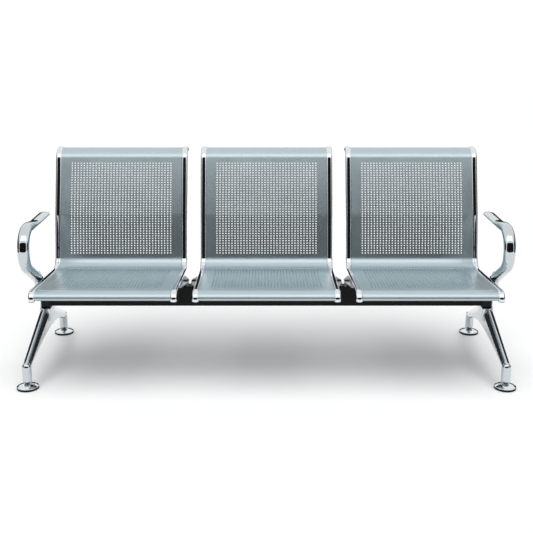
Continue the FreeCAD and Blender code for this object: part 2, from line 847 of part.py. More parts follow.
def sleeve(node, side):
    """A black sleeve round the end of the beam, where the leg clamps it."""
    wall = size("sleeve_wall")
    middle = (size("beam_place"), size("beam_top") - size("beam_height") / 2.0)
    outer = rounded_loop(
        size("beam_depth") + 2.0 * wall, size("beam_height") + 2.0 * wall,
        size("beam_corner"), middle)
    inner = rounded_loop(size("beam_depth"), size("beam_height"), size("beam_corner"), middle)
    ring = padded_body(node + "_ring", "YZ_Plane", [outer, inner], "Sizes.sleeve_length")
    place(ring, "%d * (Sizes.beam_end - Sizes.sleeve_length / 2)" % side)
    drills = [leg_screw_drill("%s_%d" % (node, end), side, end) for end in (-1, 1)]
    return keep(node, cut(node, ring, group(node + "_drills", *drills)))


def leg_middle():
    """The X of the middle of a leg's saddle."""
    return (size("leg_inner") + size("cheek_outer")) / 2.0


def leg_tilt():
    """How far the plane of a leg leans outward, in degrees."""
    drop = size("saddle_height") - size("ankle_height")
    return math.degrees(math.atan2(size("foot_spread") - leg_middle(), drop))


def leg_station(place_y, ridge, shoulder, under, half):
    """A six-sided section of a leg's arm: a narrow ridge, wide shoulders and a blunt underside."""
    top = size("leg_ridge") / 2.0
    edge = half - size("leg_edge")
    outline = [
        (-top, ridge),
        (top, ridge),
        (half, shoulder),
        (edge, under),
        (-edge, under),
        (-half, shoulder),
    ]
    points = [Vector(x, place_y, z) for x, z in outline]
    return Part.makePolygon(points + points[:1])


def between(low, high, share):
    """A value some share of the way from one to another."""
    return low + (high - low) * share


def arch_height(place_y):
    """Height of the underside of a leg's arch."""
    fall = size("arch_peak") - size("ankle_height") + size("socket_radius")
    return size("arch_peak") - fall * (abs(place_y) / size("foot_reach")) ** size("arch_power")


def leg_arm(direction):
    """One arm of a leg, from under the beam to its ankle, before the leg is leaned outward."""
    start = size("hub_front") if direction < 0 else size("hub_rear")
    end = direction * size("foot_reach")
    ankle_top = size("ankle_height") + size("socket_radius")
    stations = []
    for share in (0.0, 0.25, 0.5, 0.75, 1.0):
        at = between(start, end, share)
        ridge = between(size("saddle_height"), ankle_top, share)
        thick = between(size("leg_thick_top"), size("leg_thick_foot"), share)
        drop = between(size("leg_shoulder_top"), size("leg_shoulder_foot"), share)
        stations.append(leg_station(at, ridge, ridge - drop, arch_height(at), thick / 2.0))
    return Part.makeLoft(stations, True, True)


def leg_bridge():
    """The middle of a leg, between the roots of its two arms."""
    ridge = size("saddle_height")
    shoulder = ridge - size("leg_shoulder_top")
    half = size("leg_thick_top") / 2.0
    stations = []
    for at in (size("hub_front"), size("hub_rear")):
        stations.append(leg_station(at, ridge, shoulder, arch_height(at), half))
    return Part.makeLoft(stations, True, True)


def level_drill(height, inner, outer):
    """A cutting rod for an arm rest's screw, between two distances from the middle."""
    past = size("past")
    at = Vector(-outer - past, size("beam_place"), height)
    radius = size("lug_screw_radius") + size("screw_gap")
    return Part.makeCylinder(radius, outer - inner + 2.0 * past, at, Vector(1, 0, 0))


def leg_casting(side):
    """A cast leg: saddle under the beam, a cheek over its end, two arms and two foot sockets."""
    saddle = size("saddle_height")
    arms = [leg_arm(-1), leg_arm(1), leg_bridge()]
    lean = Placement(Vector(), Rotation(Vector(0, 1, 0), leg_tilt()), Vector(0, 0, saddle))
    for arm in arms:
        arm.Placement = lean.multiply(arm.Placement)
        arm.translate(Vector(-leg_middle(), 0, 0))
    inner = size("leg_inner")
    cheek = size("cheek_inner")
    outer = size("cheek_outer")
    rear = size("beam_rear") + size("sleeve_wall") + size("saddle_gap")
    front = size("beam_front") - size("sleeve_wall")
    hub = Part.makeBox(
        outer - inner, size("hub_rear") - size("hub_front"), saddle - size("hub_bottom"),
        Vector(-outer, size("hub_front"), size("hub_bottom")))
    side_wall = Part.makeBox(
        outer - cheek, rear - front + size("rear_wall"), size("cheek_height") - size("hub_bottom"),
        Vector(-outer, front, size("hub_bottom")))
    back_wall = Part.makeBox(
        outer - inner, size("rear_wall"), size("rear_wall_height") - size("hub_bottom"),
        Vector(-outer, rear, size("hub_bottom")))
    solid = arms[0].multiFuse(arms[1:] + [hub, side_wall, back_wall])
    bore_radius = size("stem_radius") + size("stem_gap")
    for direction in (-1, 1):
        foot = Vector(-size("foot_spread"), direction * size("foot_reach"), size("socket_bottom"))
        tall = size("ankle_height") - size("socket_bottom")
        socket = Part.makeCylinder(size("socket_radius"), tall, foot)
        dome = Part.makeSphere(size("socket_radius"), foot + Vector(0, 0, tall))
        solid = solid.fuse([socket, dome])
    spill_front = size("hub_front") - size("hub_depth")
    spill = Part.makeBox(
        cheek - inner + size("past"), rear - spill_front, size("beam_top"),
        Vector(-cheek, spill_front, saddle))
    solid = solid.cut(spill)
    for direction in (-1, 1):
        foot = Vector(-size("foot_spread"), direction * size("foot_reach"), 0)
        solid = solid.cut(Part.makeCylinder(bore_radius, size("stem_top") + size("stem_room"), foot))
    for end in (-1, 1):
        at = Vector(
            -size("leg_screw_place"), size("beam_place") + end * size("leg_screw_spread") / 2.0,
            saddle - size("leg_screw_depth"))
        solid = solid.cut(Part.makeCylinder(size("leg_screw_radius") + size("screw_gap"), saddle, at))
    for height in (size("lug_screw_low"), size("lug_screw_high")):
        solid = solid.cut(level_drill(height, cheek, outer))
    solid = solid.removeSplitter()
    if side > 0:
        solid = solid.mirror(Vector(), Vector(1, 0, 0))
    return solid


def leg(node, side):
    """A leg as a feature of its own, because its arms are lofts through sections."""
    feature = doc.addObject("Part::Feature", node + "_casting")
    feature.Shape = leg_casting(side)
    return keep(node, feature)


def leg_screws(node, side):
    """Two screws that pull the beam, in its sleeve, down on the saddle of a leg."""
    screws = []
    for end in (-1, 1):
        name = "%s_%s" % (node, "front" if end < 0 else "rear")
        x = "%d * Sizes.leg_screw_place" % side
        y = "Sizes.beam_place + %d * Sizes.leg_screw_spread / 2" % end
        low = "Sizes.saddle_height - Sizes.leg_screw_depth + Sizes.screw_gap"
        top = "Sizes.beam_top + Sizes.sleeve_wall"
        shank = rod(name + "_shank", "Sizes.leg_screw_radius", "%s - (%s)" % (top, low), x, y, low)
        head = hexagon(name + "_head", "Sizes.leg_head_flats", "Sizes.leg_head_height", x, y, top)
        screws.append(fuse(name, shank, head))
    return keep(node, group(node, *screws))


def arm_line():
    """The middle line of an arm rest's bar, from its root up to where the pad starts."""
    tip = (size("pad_tip_place"), size("pad_tip_height"))
    high = (size("arm_high_place"), size("arm_high_height"))
    angle = heading(high, tip)
    run = (size("pad_start_place") - high[0]) / math.cos(math.radians(angle))
    corners = [
        (size("arm_root_place"), size("arm_root_height")),
        (size("arm_low_place"), size("arm_low_height")),
        high,
        point_at(high, angle, run),
    ]
    return bent_line(corners, [size("arm_low_bend"), size("arm_high_bend")]), angle


def oval_arc(width, depth, across, up):
    """One quarter of an oval; across and up pick the quarter."""
    full = size("oval_fullness")
    ends = [Vector(across * width / 2.0, 0, 0), Vector(0, up * depth / 2.0, 0)]
    if across * up < 0:
        ends.reverse()
    middle = Vector(across * width / 2.0 * full, up * depth / 2.0 * full, 0)
    return Part.Arc(ends[0], middle, ends[1]).toShape()


def oval_wire(width, depth, stand):
    """A closed oval section of four arcs, set up by a placement."""
    quarters = ((1, 1), (-1, 1), (-1, -1), (1, -1))
    wire = Part.Wire([oval_arc(width, depth, across, up) for across, up in quarters])
    wire.Placement = stand
    return wire


def round_end(width, depth, stand, outward):
    """The rounded end of an oval bar: half of its section, turned about its upright by two quarters."""
    middle = Part.LineSegment(Vector(0, depth / 2.0, 0), Vector(0, -depth / 2.0, 0)).toShape()
    wire = Part.Wire([oval_arc(width, depth, 1, 1), middle, oval_arc(width, depth, 1, -1)])
    wire.Placement = stand
    upright = stand.Rotation.multVec(Vector(0, outward, 0))
    face = Part.Face(wire)
    first = face.revolve(stand.Base, upright, 90.0)
    face.rotate(stand.Base, upright, 90.0)
    return first.fuse(face.revolve(stand.Base, upright, 90.0))


def arm_solid():
    """An arm rest about X = 0: an oval bar that runs out into a flat pad, and a lug at its root."""
    pieces, angle = arm_line()
    edges = []
    for piece in pieces:
        points = [Vector(0, *point) for point in piece]
        curve = Part.LineSegment(*points) if len(points) == 2 else Part.Arc(*points)
        edges.append(curve.toShape())
    start = pieces[0][0]
    stand = Placement(Vector(0, *start), section_turn(heading(*pieces[0][:2])))
    bar_wire = oval_wire(size("arm_width"), size("arm_depth"), stand)
    bar = Part.Wire(edges).makePipeShell([bar_wire], True, True)
    root = round_end(size("arm_width"), size("arm_depth"), stand, 1)
    first = pieces[-1][-1]
    reach = (size("pad_full_place") - size("pad_start_place")) / math.cos(math.radians(angle))
    turn = section_turn(angle)
    sections = []
    for share in (0.0, 0.35, 0.7, 1.0):
        ease = share * share * (3.0 - 2.0 * share)
        width = between(size("arm_width"), size("pad_width"), ease)
        depth = between(size("arm_depth"), size("pad_thickness"), ease)
        at = point_at(first, angle, reach * share)
        stand = Placement(Vector(size("pad_shift") * ease, *at), turn)
        sections.append(oval_wire(width, depth, stand))
    neck = Part.makeLoft(sections, True, False)
    full = point_at(first, angle, reach)
    tip = (size("pad_tip_place"), size("pad_tip_height"))
    run = math.hypot(tip[0] - full[0], tip[1] - full[1])
    along = Vector(0, math.cos(math.radians(angle)), math.sin(math.radians(angle)))
    pad_wire = oval_wire(
        size("pad_width"), size("pad_thickness"), Placement(Vector(size("pad_shift"), *full), turn))
    pad = Part.Face(pad_wire).extrude(along * run)
    tip_stand = Placement(Vector(size("pad_shift"), *tip), turn)
    end = round_end(size("pad_width"), size("pad_thickness"), tip_stand, -1)
    return bar.multiFuse([root, neck, pad, end])


def arm_rest(node, side):
    """A cast arm rest with a lug that is screwed to the end of the beam through the leg's cheek."""
    solid = arm_solid()
    solid.translate(Vector(-size("arm_centre"), 0, 0))
    outer = size("lug_outer")
    thickness = size("lug_thickness")
    half = size("lug_width") / 2.0
    lug = Part.makeBox(
        thickness, size("lug_width"), size("arm_root_height") - size("lug_bottom"),
        Vector(-outer, size("beam_place") - half, size("lug_bottom")))
    top = Vector(-outer, size("beam_place"), size("arm_root_height"))
    heel = Part.makeCylinder(half, thickness, top, Vector(1, 0, 0))
    solid = solid.multiFuse([lug, heel])
    for height in (size("lug_screw_low"), size("lug_screw_high")):
        solid = solid.cut(level_drill(height, size("cheek_outer"), outer))
    solid = solid.removeSplitter()
    if side > 0:
        solid = solid.mirror(Vector(), Vector(1, 0, 0))
    feature = doc.addObject("Part::Feature", node + "_casting")
    feature.Shape = solid
    return keep(node, feature)


def arm_screws(node, side):
    """Two round-headed screws through the lug and the cheek into the end plug."""
    screws = []
    along = Vector(side, 0, 0)
    for level in ("low", "high"):
        name = "%s_%s" % (node, level)
        height = "Sizes.lug_screw_%s" % level
        shank = rod(
            name + "_shank", "Sizes.lug_screw_radius", "Sizes.lug_screw_length",
            "%d * (Sizes.lug_outer - Sizes.lug_screw_length)" % side, "Sizes.beam_place", height, along)
        head = rod(
            name + "_head", "Sizes.lug_head_radius", "Sizes.lug_head_height",
            "%d * Sizes.lug_outer" % side, "Sizes.beam_place", height, along)
        screws.append(fuse(name, shank, head))
    return keep(node, group(node, *screws))


def head_level():
    """Height of the underside of a stem's head, above the plug of its rubber pad."""
    return size("pad_height") + size("pad_plug_height") + size("seat_gap")


def foot_cup(node, x, y):
    """The chromed cone of a foot, hollow for the head of its stem."""
    rim = size("cup_radius")
    low = size("pad_height")
    bore = size("stem_radius") + size("stem_gap")
    well = size("stem_head_radius") + size("seat_gap")
    well_top = head_level() + size("stem_head_height") + size("seat_gap")
    shoulder = low + size("cup_rim_height")
    ease = size("cup_rim_round")
    chamfer = size("small_chamfer")
    outline = loop_of([
        (well, low),
        (rim - ease, low),
        (rim, low + ease),
        (rim, shoulder - ease),
        (rim - ease, shoulder),
        (size("cup_neck_radius"), size("cup_height") - chamfer),
        (size("cup_neck_radius") - chamfer, size("cup_height")),
        (bore, size("cup_height")),
        (bore, well_top),
        (well, well_top),
    ])
    return keep(node, place(turned_body(node + "_body", outline), x, y))


def foot_pad(node, x, y):
    """The rubber pad under a foot, with a plug that carries the stem's head."""
    well = size("stem_head_radius") + size("seat_gap")
    low = size("pad_height")
    high = low + size("pad_plug_height")
    chamfer = size("small_chamfer")
    outline = loop_of([
        (0.0, 0.0),
        (size("pad_radius") - chamfer, 0.0),
        (size("pad_radius"), chamfer),
        (size("pad_radius"), low),
        (well, low),
        (well, high),
        (0.0, high),
    ])
    return keep(node, place(turned_body(node + "_body", outline), x, y))


def foot_stem(node, x, y):
    """The threaded stem of a foot; its round head turns in the cup."""
    low = head_level()
    head = low + size("stem_head_height")
    chamfer = size("small_chamfer")
    outline = loop_of([
        (0.0, low),
        (size("stem_head_radius"), low),
        (size("stem_head_radius"), head),
        (size("stem_radius"), head),
        (size("stem_radius"), size("stem_top") - chamfer),
        (size("stem_radius") - chamfer, size("stem_top")),
        (0.0, size("stem_top")),
    ])
    return keep(node, place(turned_body(node + "_body", outline), x, y))


def lock_nut(node, x, y):
    """The thin nut that locks a stem against its socket."""
    low = "Sizes.socket_bottom - Sizes.foot_nut_height"
    nut = hexagon(node + "_blank", "Sizes.foot_nut_flats", "Sizes.foot_nut_height", x, y, low)
    bore = rod(node + "_bore", "Sizes.stem_radius + Sizes.stem_gap", "Sizes.socket_bottom", x, y, "0")
    return keep(node, cut(node, nut, bore))


beam("beam")
for seat, centre in SEATS.items():
    seat_sheet("seat_shell_" + seat, centre)
    for side_name, side in SIDES.items():
        rail("side_rail_%s_%s" % (seat, side_name), centre, side)
        bracket("seat_bracket_%s_%s" % (seat, side_name), seat, side_name)
    cross_bar("front_bar_" + seat, centre, "front_bar_place")
    cross_bar("rear_bar_" + seat, centre, "rear_bar_place")
    rail_plugs("rail_plugs_" + seat, centre)
    bracket_screws("bracket_screws_" + seat, seat)

for side_name, side in SIDES.items():
    end_plug("beam_plug_" + side_name, side)
    sleeve("beam_sleeve_" + side_name, side)
    leg("leg_" + side_name, side)
    leg_screws("leg_screws_" + side_name, side)
    arm_rest("arm_rest_" + side_name, side)
    arm_screws("arm_screws_" + side_name, side)
    for end_name, end in (("front", -1), ("rear", 1)):
        corner = "%s_%s" % (end_name, side_name)
        foot_x = "%d * Sizes.foot_spread" % side
        foot_y = "%d * Sizes.foot_reach" % end
        foot_cup("foot_cup_" + corner, foot_x, foot_y)
        foot_pad("foot_pad_" + corner, foot_x, foot_y)
        foot_stem("foot_stem_" + corner, foot_x, foot_y)
        lock_nut("lock_nut_" + corner, foot_x, foot_y)

doc.recompute()

failed = [item.Name for item in doc.Objects if "Invalid" in item.State or "Error" in item.State]
if failed:
    raise RuntimeError("failed objects: " + ", ".join(failed))
for node, thing in made.items():
    if thing.Shape.isNull() or not thing.Shape.isValid():
        raise RuntimeError("bad shape: " + node)

os.makedirs("parts", exist_ok=True)
for node, thing in made.items():
    thing.Shape.exportStep("parts/%s.step" % node)
    shape = thing.Shape
    box = shape.BoundBox
    print("%-28s solids %2d  volume %9.0f  X %7.1f %7.1f  Y %7.1f %7.1f  Z %6.1f %6.1f" % (
        node, len(shape.Solids), shape.Volume, box.XMin, box.XMax, box.YMin, box.YMax, box.ZMin, box.ZMax))
print("%d sub-parts" % len(made))
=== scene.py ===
# %% [markdown]
# # A three-seat bench for a waiting room
#
# Three seats of punched steel sheet hang between chromed rails on one black beam. Each end has a cast leg
# with two levelling feet, and a cast arm rest. The frame comes from the CAD model, which fixes every size
# and place. Here the bench gets its looks: the punched holes, the rounded castings and the finishes.

# %% Load the frame
import json
import math

import bmesh
import bpy
from mathutils import Matrix, Vector

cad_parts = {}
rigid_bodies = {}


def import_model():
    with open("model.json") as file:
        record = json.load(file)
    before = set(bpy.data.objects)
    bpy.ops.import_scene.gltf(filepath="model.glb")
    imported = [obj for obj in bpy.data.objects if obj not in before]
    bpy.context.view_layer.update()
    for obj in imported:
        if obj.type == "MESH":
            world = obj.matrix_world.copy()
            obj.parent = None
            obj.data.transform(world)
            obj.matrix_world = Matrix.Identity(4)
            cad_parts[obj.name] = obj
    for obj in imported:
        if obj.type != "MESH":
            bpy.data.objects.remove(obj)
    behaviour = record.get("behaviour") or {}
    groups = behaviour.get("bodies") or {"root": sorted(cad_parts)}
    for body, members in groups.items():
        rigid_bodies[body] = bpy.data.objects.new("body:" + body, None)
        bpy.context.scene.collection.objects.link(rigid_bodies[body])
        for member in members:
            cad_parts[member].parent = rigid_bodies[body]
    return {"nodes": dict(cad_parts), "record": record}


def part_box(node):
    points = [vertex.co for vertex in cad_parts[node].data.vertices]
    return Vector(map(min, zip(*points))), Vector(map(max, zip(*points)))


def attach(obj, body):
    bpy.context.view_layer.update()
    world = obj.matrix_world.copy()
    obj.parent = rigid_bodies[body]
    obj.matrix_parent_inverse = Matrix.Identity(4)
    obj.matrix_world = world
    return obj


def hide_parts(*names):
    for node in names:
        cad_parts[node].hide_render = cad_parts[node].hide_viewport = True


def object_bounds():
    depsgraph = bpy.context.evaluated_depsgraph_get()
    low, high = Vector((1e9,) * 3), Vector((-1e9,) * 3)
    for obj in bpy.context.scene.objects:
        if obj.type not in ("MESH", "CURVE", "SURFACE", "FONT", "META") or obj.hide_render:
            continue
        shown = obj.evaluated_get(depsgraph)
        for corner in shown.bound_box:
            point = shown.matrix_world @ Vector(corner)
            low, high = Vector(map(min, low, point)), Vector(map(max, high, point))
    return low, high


for leftover in list(bpy.data.objects):
    bpy.data.objects.remove(leftover)
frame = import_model()
nodes = frame["nodes"]
cad_low, cad_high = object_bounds()
cad_sides = [round(high - low, 4) for low, high in zip(cad_low, cad_high)]
print("CAD box", cad_sides, "metres,", len(nodes), "nodes")

# %% [markdown]
# ## Names that repeat
#
# The bench is symmetric, so most pieces come in a left and a right copy, and the seats in three. Their
# names are written once here, and loops go through them below. Their places are read from the CAD frame,
# so that the looks follow if a size is changed there.

# %% Names and places
def centre_of(name):
    """The middle of a CAD node's box."""
    low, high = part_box(name)
    return [(a + b) / 2.0 for a, b in zip(low, high)]


MM = 0.001  # Blender works in metres
SEATS = {seat: centre_of("seat_shell_" + seat)[0] for seat in ("left", "middle", "right")}
SIDES = {"left": -1, "right": 1}
CORNERS = {}
for end in ("front", "rear"):
    for side in SIDES:
        corner = end + "_" + side
        CORNERS[corner] = centre_of("foot_cup_" + corner)[:2]
print("seats at", [round(x, 4) for x in SEATS.values()])
print("feet at", {corner: [round(v, 4) for v in place] for corner, place in CORNERS.items()})

# %% [markdown]
# ## The camera
#
# The photograph was taken from straight in front, a little above the seats, with a fairly long lens. A
# camera fitted to the seats, the beam and the feet stands 3.3 m in front and looks 14.7 degrees down.
# The small shift does what a view camera does: it moves the picture without tilting the lens.

# %% Place the camera
LENS = 59.71
SENSOR_WIDTH = 36.0
LENS_SHIFT = -0.0222
CAMERA_PLACE = (0.0, -3.304, 1.2915)
LOOK_DOWN = 14.67
lens_data = bpy.data.cameras.new("camera")
lens_data.lens = LENS
lens_data.sensor_width = SENSOR_WIDTH
lens_data.shift_y = LENS_SHIFT
camera = bpy.data.objects.new("camera", lens_data)
bpy.context.scene.collection.objects.link(camera)
camera.location = CAMERA_PLACE
camera.rotation_euler = (math.radians(90.0 - LOOK_DOWN), 0.0, 0.0)
bpy.context.scene.camera = camera
bpy.context.scene.view_settings.view_transform = "Standard"
print("camera at", tuple(camera.location))

# %% [markdown]
# ## Helpers for working by hand
#
# Blender's operators act on what is selected, so each step starts by letting go of everything. A finished
# piece keeps its place in its mesh and its object at the origin, so that patterns stay where they are.

# %% Letting go, picking and opening
def let_go():
    """Leave edit mode and select nothing."""
    if bpy.context.object and bpy.context.object.mode != "OBJECT":
        bpy.ops.object.mode_set(mode="OBJECT")
    bpy.ops.object.select_all(action="DESELECT")


def pick(*pieces):
    """Select only these pieces; the first is the active one."""
    let_go()
    for piece in pieces:
        piece.select_set(True)
    bpy.context.view_layer.objects.active = pieces[0]


def edit(piece):
    """Open a piece in edit mode with everything selected."""
    pick(piece)
    bpy.ops.object.mode_set(mode="EDIT")
    bpy.ops.mesh.select_all(action="SELECT")


print("pieces can be picked")


# %% Settling, choosing and measuring
def settle(piece):
    """Write a piece's place into its mesh."""
    pick(piece)
    bpy.ops.object.transform_apply(location=True, rotation=True, scale=True)


def apply_modifiers(piece):
    """Apply every modifier in order."""
    pick(piece)
    for modifier in list(piece.modifiers):
        bpy.ops.object.modifier_apply(modifier=modifier.name)


def choose(piece, kind, test):
    """In edit mode, select only the points, edges or faces whose middle passes a test."""
    bpy.ops.mesh.select_all(action="DESELECT")
    shape = bmesh.from_edit_mesh(piece.data)
    for part in getattr(shape, kind):
        corners = getattr(part, "verts", [part])
        middle = sum((vert.co for vert in corners), Vector()) / len(corners)
        if test(part, middle):
            part.select = True
    shape.select_flush_mode()
    bmesh.update_edit_mesh(piece.data)


def smooth(piece, angle):
    """Smooth shading, with edges sharper than an angle kept."""
    pick(piece)
    bpy.ops.object.shade_smooth_by_angle(angle=math.radians(angle))


def triangles(piece):
    """How many triangles a piece has."""
    return sum(len(face.vertices) - 2 for face in piece.data.polygons)


print("pieces can be worked on")


# %% Copies, joins and handing over
def twin_of(piece, name):
    """A copy of a piece with a mesh of its own."""
    twin = piece.copy()
    twin.data = piece.data.copy()
    twin.name = name
    bpy.context.scene.collection.objects.link(twin)
    return twin


def copy_to(piece, name, shift):
    """A copy moved along X and settled there."""
    twin = twin_of(piece, name)
    twin.location = (shift, 0.0, 0.0)
    settle(twin)
    return twin


def join(name, *pieces):
    """Several pieces made one."""
    pick(*pieces)
    bpy.ops.object.join()
    pieces[0].name = name
    return pieces[0]


def hand_over(piece, node, body="root"):
    """Put a finished piece in place of a CAD node, which is hidden, and make it move with a body."""
    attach(piece, body)
    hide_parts(node)


print("pieces can be copied, joined and handed over")

# %% [markdown]
# ## The side view of a seat
#
# Each seat is one sheet of steel, bent five times in a press brake: a curl under the nose, the nose, the
# heel where seat meets back, a faint crease in the back, and the crest that rolls over at the top. Seen
# from the side it is a line of straight runs and arcs. The corners are the same as in the CAD model. The
# line could be drawn with curve handles, but worked out from corners and radii it has true arcs, and the
# rails can follow it at a fixed distance.

# %% Angles, runs and bends of the side view
NOSE = (-0.283, 0.36484)
CREASE = (0.182, 0.542)
TOP_HEIGHT = 0.800
FACE_LENGTH = 0.0395
CURL_LENGTH = 0.030
LIP_LENGTH = 0.015
FACE_ANGLE, SEAT_ANGLE, LOW_ANGLE, HIGH_ANGLE, LIP_ANGLE = 60.0, -3.6, 76.5, 71.6, -20.4
BENDS = (0.010, 0.035, 0.055, 0.060, 0.050)
SHEET = 1.5 * MM
print("bends of", [round(bend / MM) for bend in BENDS], "mm")


# %% Corners of the side view
def moved(point, angle, reach):
    """The point some way off in a direction."""
    turn = math.radians(angle)
    return (point[0] + reach * math.cos(turn), point[1] + reach * math.sin(turn))


def meeting(point, angle, other, other_angle):
    """Where two lines meet."""
    turn, other_turn = math.radians(angle), math.radians(other_angle)
    across = math.sin(other_turn - turn)
    gap = (other[0] - point[0], other[1] - point[1])
    reach = (gap[0] * math.sin(other_turn) - gap[1] * math.cos(other_turn)) / across
    return moved(point, angle, reach)


curl = moved(NOSE, FACE_ANGLE + 180.0, FACE_LENGTH)
tail = moved(curl, 0.0, CURL_LENGTH)
heel = meeting(NOSE, SEAT_ANGLE, CREASE, LOW_ANGLE)
crest_rise = BENDS[4] * (1.0 - math.cos(math.radians(HIGH_ANGLE)))
climb = TOP_HEIGHT - crest_rise - CREASE[1]
top = moved(CREASE, HIGH_ANGLE, climb / math.sin(math.radians(HIGH_ANGLE)))
crest_reach = BENDS[4] * math.tan(math.radians(HIGH_ANGLE - LIP_ANGLE) / 2.0)
crest = moved(top, HIGH_ANGLE, crest_reach)
lip = moved(crest, LIP_ANGLE, crest_reach + LIP_LENGTH)
SIDE_CORNERS = [tail, curl, NOSE, heel, CREASE, crest, lip]
print("corners of the side view, from tail to lip:", [tuple(round(v, 4) for v in c) for c in SIDE_CORNERS])


# %% Points along runs and bends
def heading(start, end):
    """The direction from one point to another, in degrees."""
    return math.degrees(math.atan2(end[1] - start[1], end[0] - start[0]))


def bent_points(corners, bends, shift=0.0, arc_step=3.0, run_step=0.004):
    """Points along straight runs and the arcs between them, on a line shifted to the left."""
    angles = [heading(a, b) for a, b in zip(corners, corners[1:])]
    line = [moved(corners[0], angles[0] + 90.0, shift)]
    for number, corner in enumerate(corners[1:-1]):
        before = moved(corner, angles[number] + 90.0, shift)
        after = moved(corner, angles[number + 1] + 90.0, shift)
        line.append(meeting(before, angles[number], after, angles[number + 1]))
    line.append(moved(corners[-1], angles[-1] + 90.0, shift))
    points = []
    last = line[0]
    for number, corner in enumerate(line[1:]):
        radius = turn = 0.0
        if corner is not line[-1]:
            turn = (angles[number + 1] - angles[number] + 180.0) % 360.0 - 180.0
            radius = bends[number] - shift * math.copysign(1.0, turn)
        start = moved(corner, angles[number] + 180.0, radius * math.tan(math.radians(abs(turn)) / 2.0))
        steps = max(1, round(math.dist(last, start) / run_step))
        for step in range(steps):
            share = step / steps
            points.append((last[0] + (start[0] - last[0]) * share, last[1] + (start[1] - last[1]) * share))
        side = math.copysign(90.0, turn)
        centre = moved(start, angles[number] + side, radius)
        steps = max(1, round(abs(turn) / arc_step)) if radius else 0
        for step in range(steps):
            points.append(moved(centre, angles[number] - side + turn * step / steps, radius))
        last = moved(centre, angles[number] - side + turn, radius) if radius else start
    points.append(last)
    return points


line_points = bent_points(SIDE_CORNERS, BENDS)
print(len(line_points), "points along the side view")


# %% How long the line is
def lengths(points):
    """How far along the line each point is."""
    result = [0.0]
    for a, b in zip(points, points[1:]):
        result.append(result[-1] + math.dist(a, b))
    return result


LINE_LENGTH = lengths(line_points)[-1]
print("the sheet is", round(LINE_LENGTH / MM), "mm long when flat")

# %% Bending a straight piece
# What was along, across and up in the flat comes to lie along Y, X and Z of the bench
INTO_ROW = Matrix(((0, 0, 1, 0), (1, 0, 0, 0), (0, 1, 0, 0), (0, 0, 0, 1)))


def bend_along(piece, points):
    """Bend a straight piece along a side view and set it into the bench's middle plane."""
    piece.rotation_euler = (-math.pi / 2.0, 0.0, 0.0)
    settle(piece)
    path = bpy.data.curves.new("side_view", "CURVE")
    path.dimensions = "2D"
    spline = path.splines.new("POLY")
    spline.points.add(len(points) - 1)
    for point, (along, up) in zip(spline.points, points):
        point.co = (along, up, 0.0, 1.0)
    side_view = bpy.data.objects.new("side_view", path)
    bpy.context.scene.collection.objects.link(side_view)
    bend = piece.modifiers.new("bend", "CURVE")
    bend.object = side_view
    bend.deform_axis = "POS_X"
    apply_modifiers(piece)
    bpy.data.objects.remove(side_view)
    piece.matrix_world = INTO_ROW
    settle(piece)


print("ready to bend")

# %% [markdown]
# ## Punching the sheet
#
# A punch makes the holes while the sheet is flat, in straight rows: 34 across, 34 rows in the seat and 38
# in the back. One cell of the pattern is a hole in a rectangle. It is made once from a circle and a plane,
# bridged, and two Array modifiers repeat it. The plain margins are then pulled out of its edges. Real
# holes let the backdrop show through, which a picture of holes can't do.

# %% Sizes of the punched pattern
HOLE_RADIUS = 2.6 * MM
HOLE_SIDES = 12
PITCH_ACROSS = 12.1 * MM
PITCH_ALONG = 9.83 * MM
COLUMNS = 34
SEAT_ROWS = 34
BACK_ROWS = 38
FIRST_SEAT_ROW, FIRST_BACK_ROW = 113 * MM, 511 * MM  # from the sheet's tail
SEAT_START = FIRST_SEAT_ROW - PITCH_ALONG / 2.0
BACK_START = FIRST_BACK_ROW - PITCH_ALONG / 2.0
SHEET_LOW, SHEET_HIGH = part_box("seat_shell_middle")
SHEET_WIDTH = SHEET_HIGH[0] - SHEET_LOW[0]
INTO_RAIL = 1.6 * MM
NOSE_CUTS, HEEL_CUTS, CREST_CUTS = 44, 22, 40
WELD = 0.03 * MM
print(COLUMNS * (SEAT_ROWS + BACK_ROWS), "holes in each seat")


# %% A field of punched cells
def punched_field(name, start, rows):
    """Cells of a hole in a rectangle, repeated along and across; start is the field's front edge."""
    middle = (start + PITCH_ALONG / 2.0, -PITCH_ACROSS * (COLUMNS - 1) / 2.0, 0.0)
    let_go()
    turn = math.pi / HOLE_SIDES
    bpy.ops.mesh.primitive_circle_add(
        vertices=HOLE_SIDES, radius=HOLE_RADIUS, fill_type="NOTHING", location=middle,
        rotation=(0.0, 0.0, turn))
    field = bpy.context.object
    field.name = name
    settle(field)
    bpy.ops.object.mode_set(mode="EDIT")
    bpy.ops.mesh.select_all(action="DESELECT")
    bpy.ops.mesh.primitive_plane_add(size=1.0, location=middle)
    bpy.ops.transform.resize(value=(PITCH_ALONG, PITCH_ACROSS, 1.0), center_override=middle)
    bpy.ops.mesh.delete(type="ONLY_FACE")
    bpy.ops.mesh.select_all(action="SELECT")
    bpy.ops.mesh.bridge_edge_loops()
    bpy.ops.object.mode_set(mode="OBJECT")
    for count, step in ((rows, (PITCH_ALONG, 0.0, 0.0)), (COLUMNS, (0.0, PITCH_ACROSS, 0.0))):
        repeat = field.modifiers.new("repeat", "ARRAY")
        repeat.count = count
        repeat.use_relative_offset = False
        repeat.use_constant_offset = True
        repeat.constant_offset_displace = step
        repeat.use_merge_vertices = True
        repeat.merge_threshold = WELD * 2.0 / 3.0
    apply_modifiers(field)
    return field


seat_field = punched_field("seat_field", SEAT_START, SEAT_ROWS)
back_field = punched_field("back_field", BACK_START, BACK_ROWS)
print("two fields,", triangles(seat_field) + triangles(back_field), "triangles")


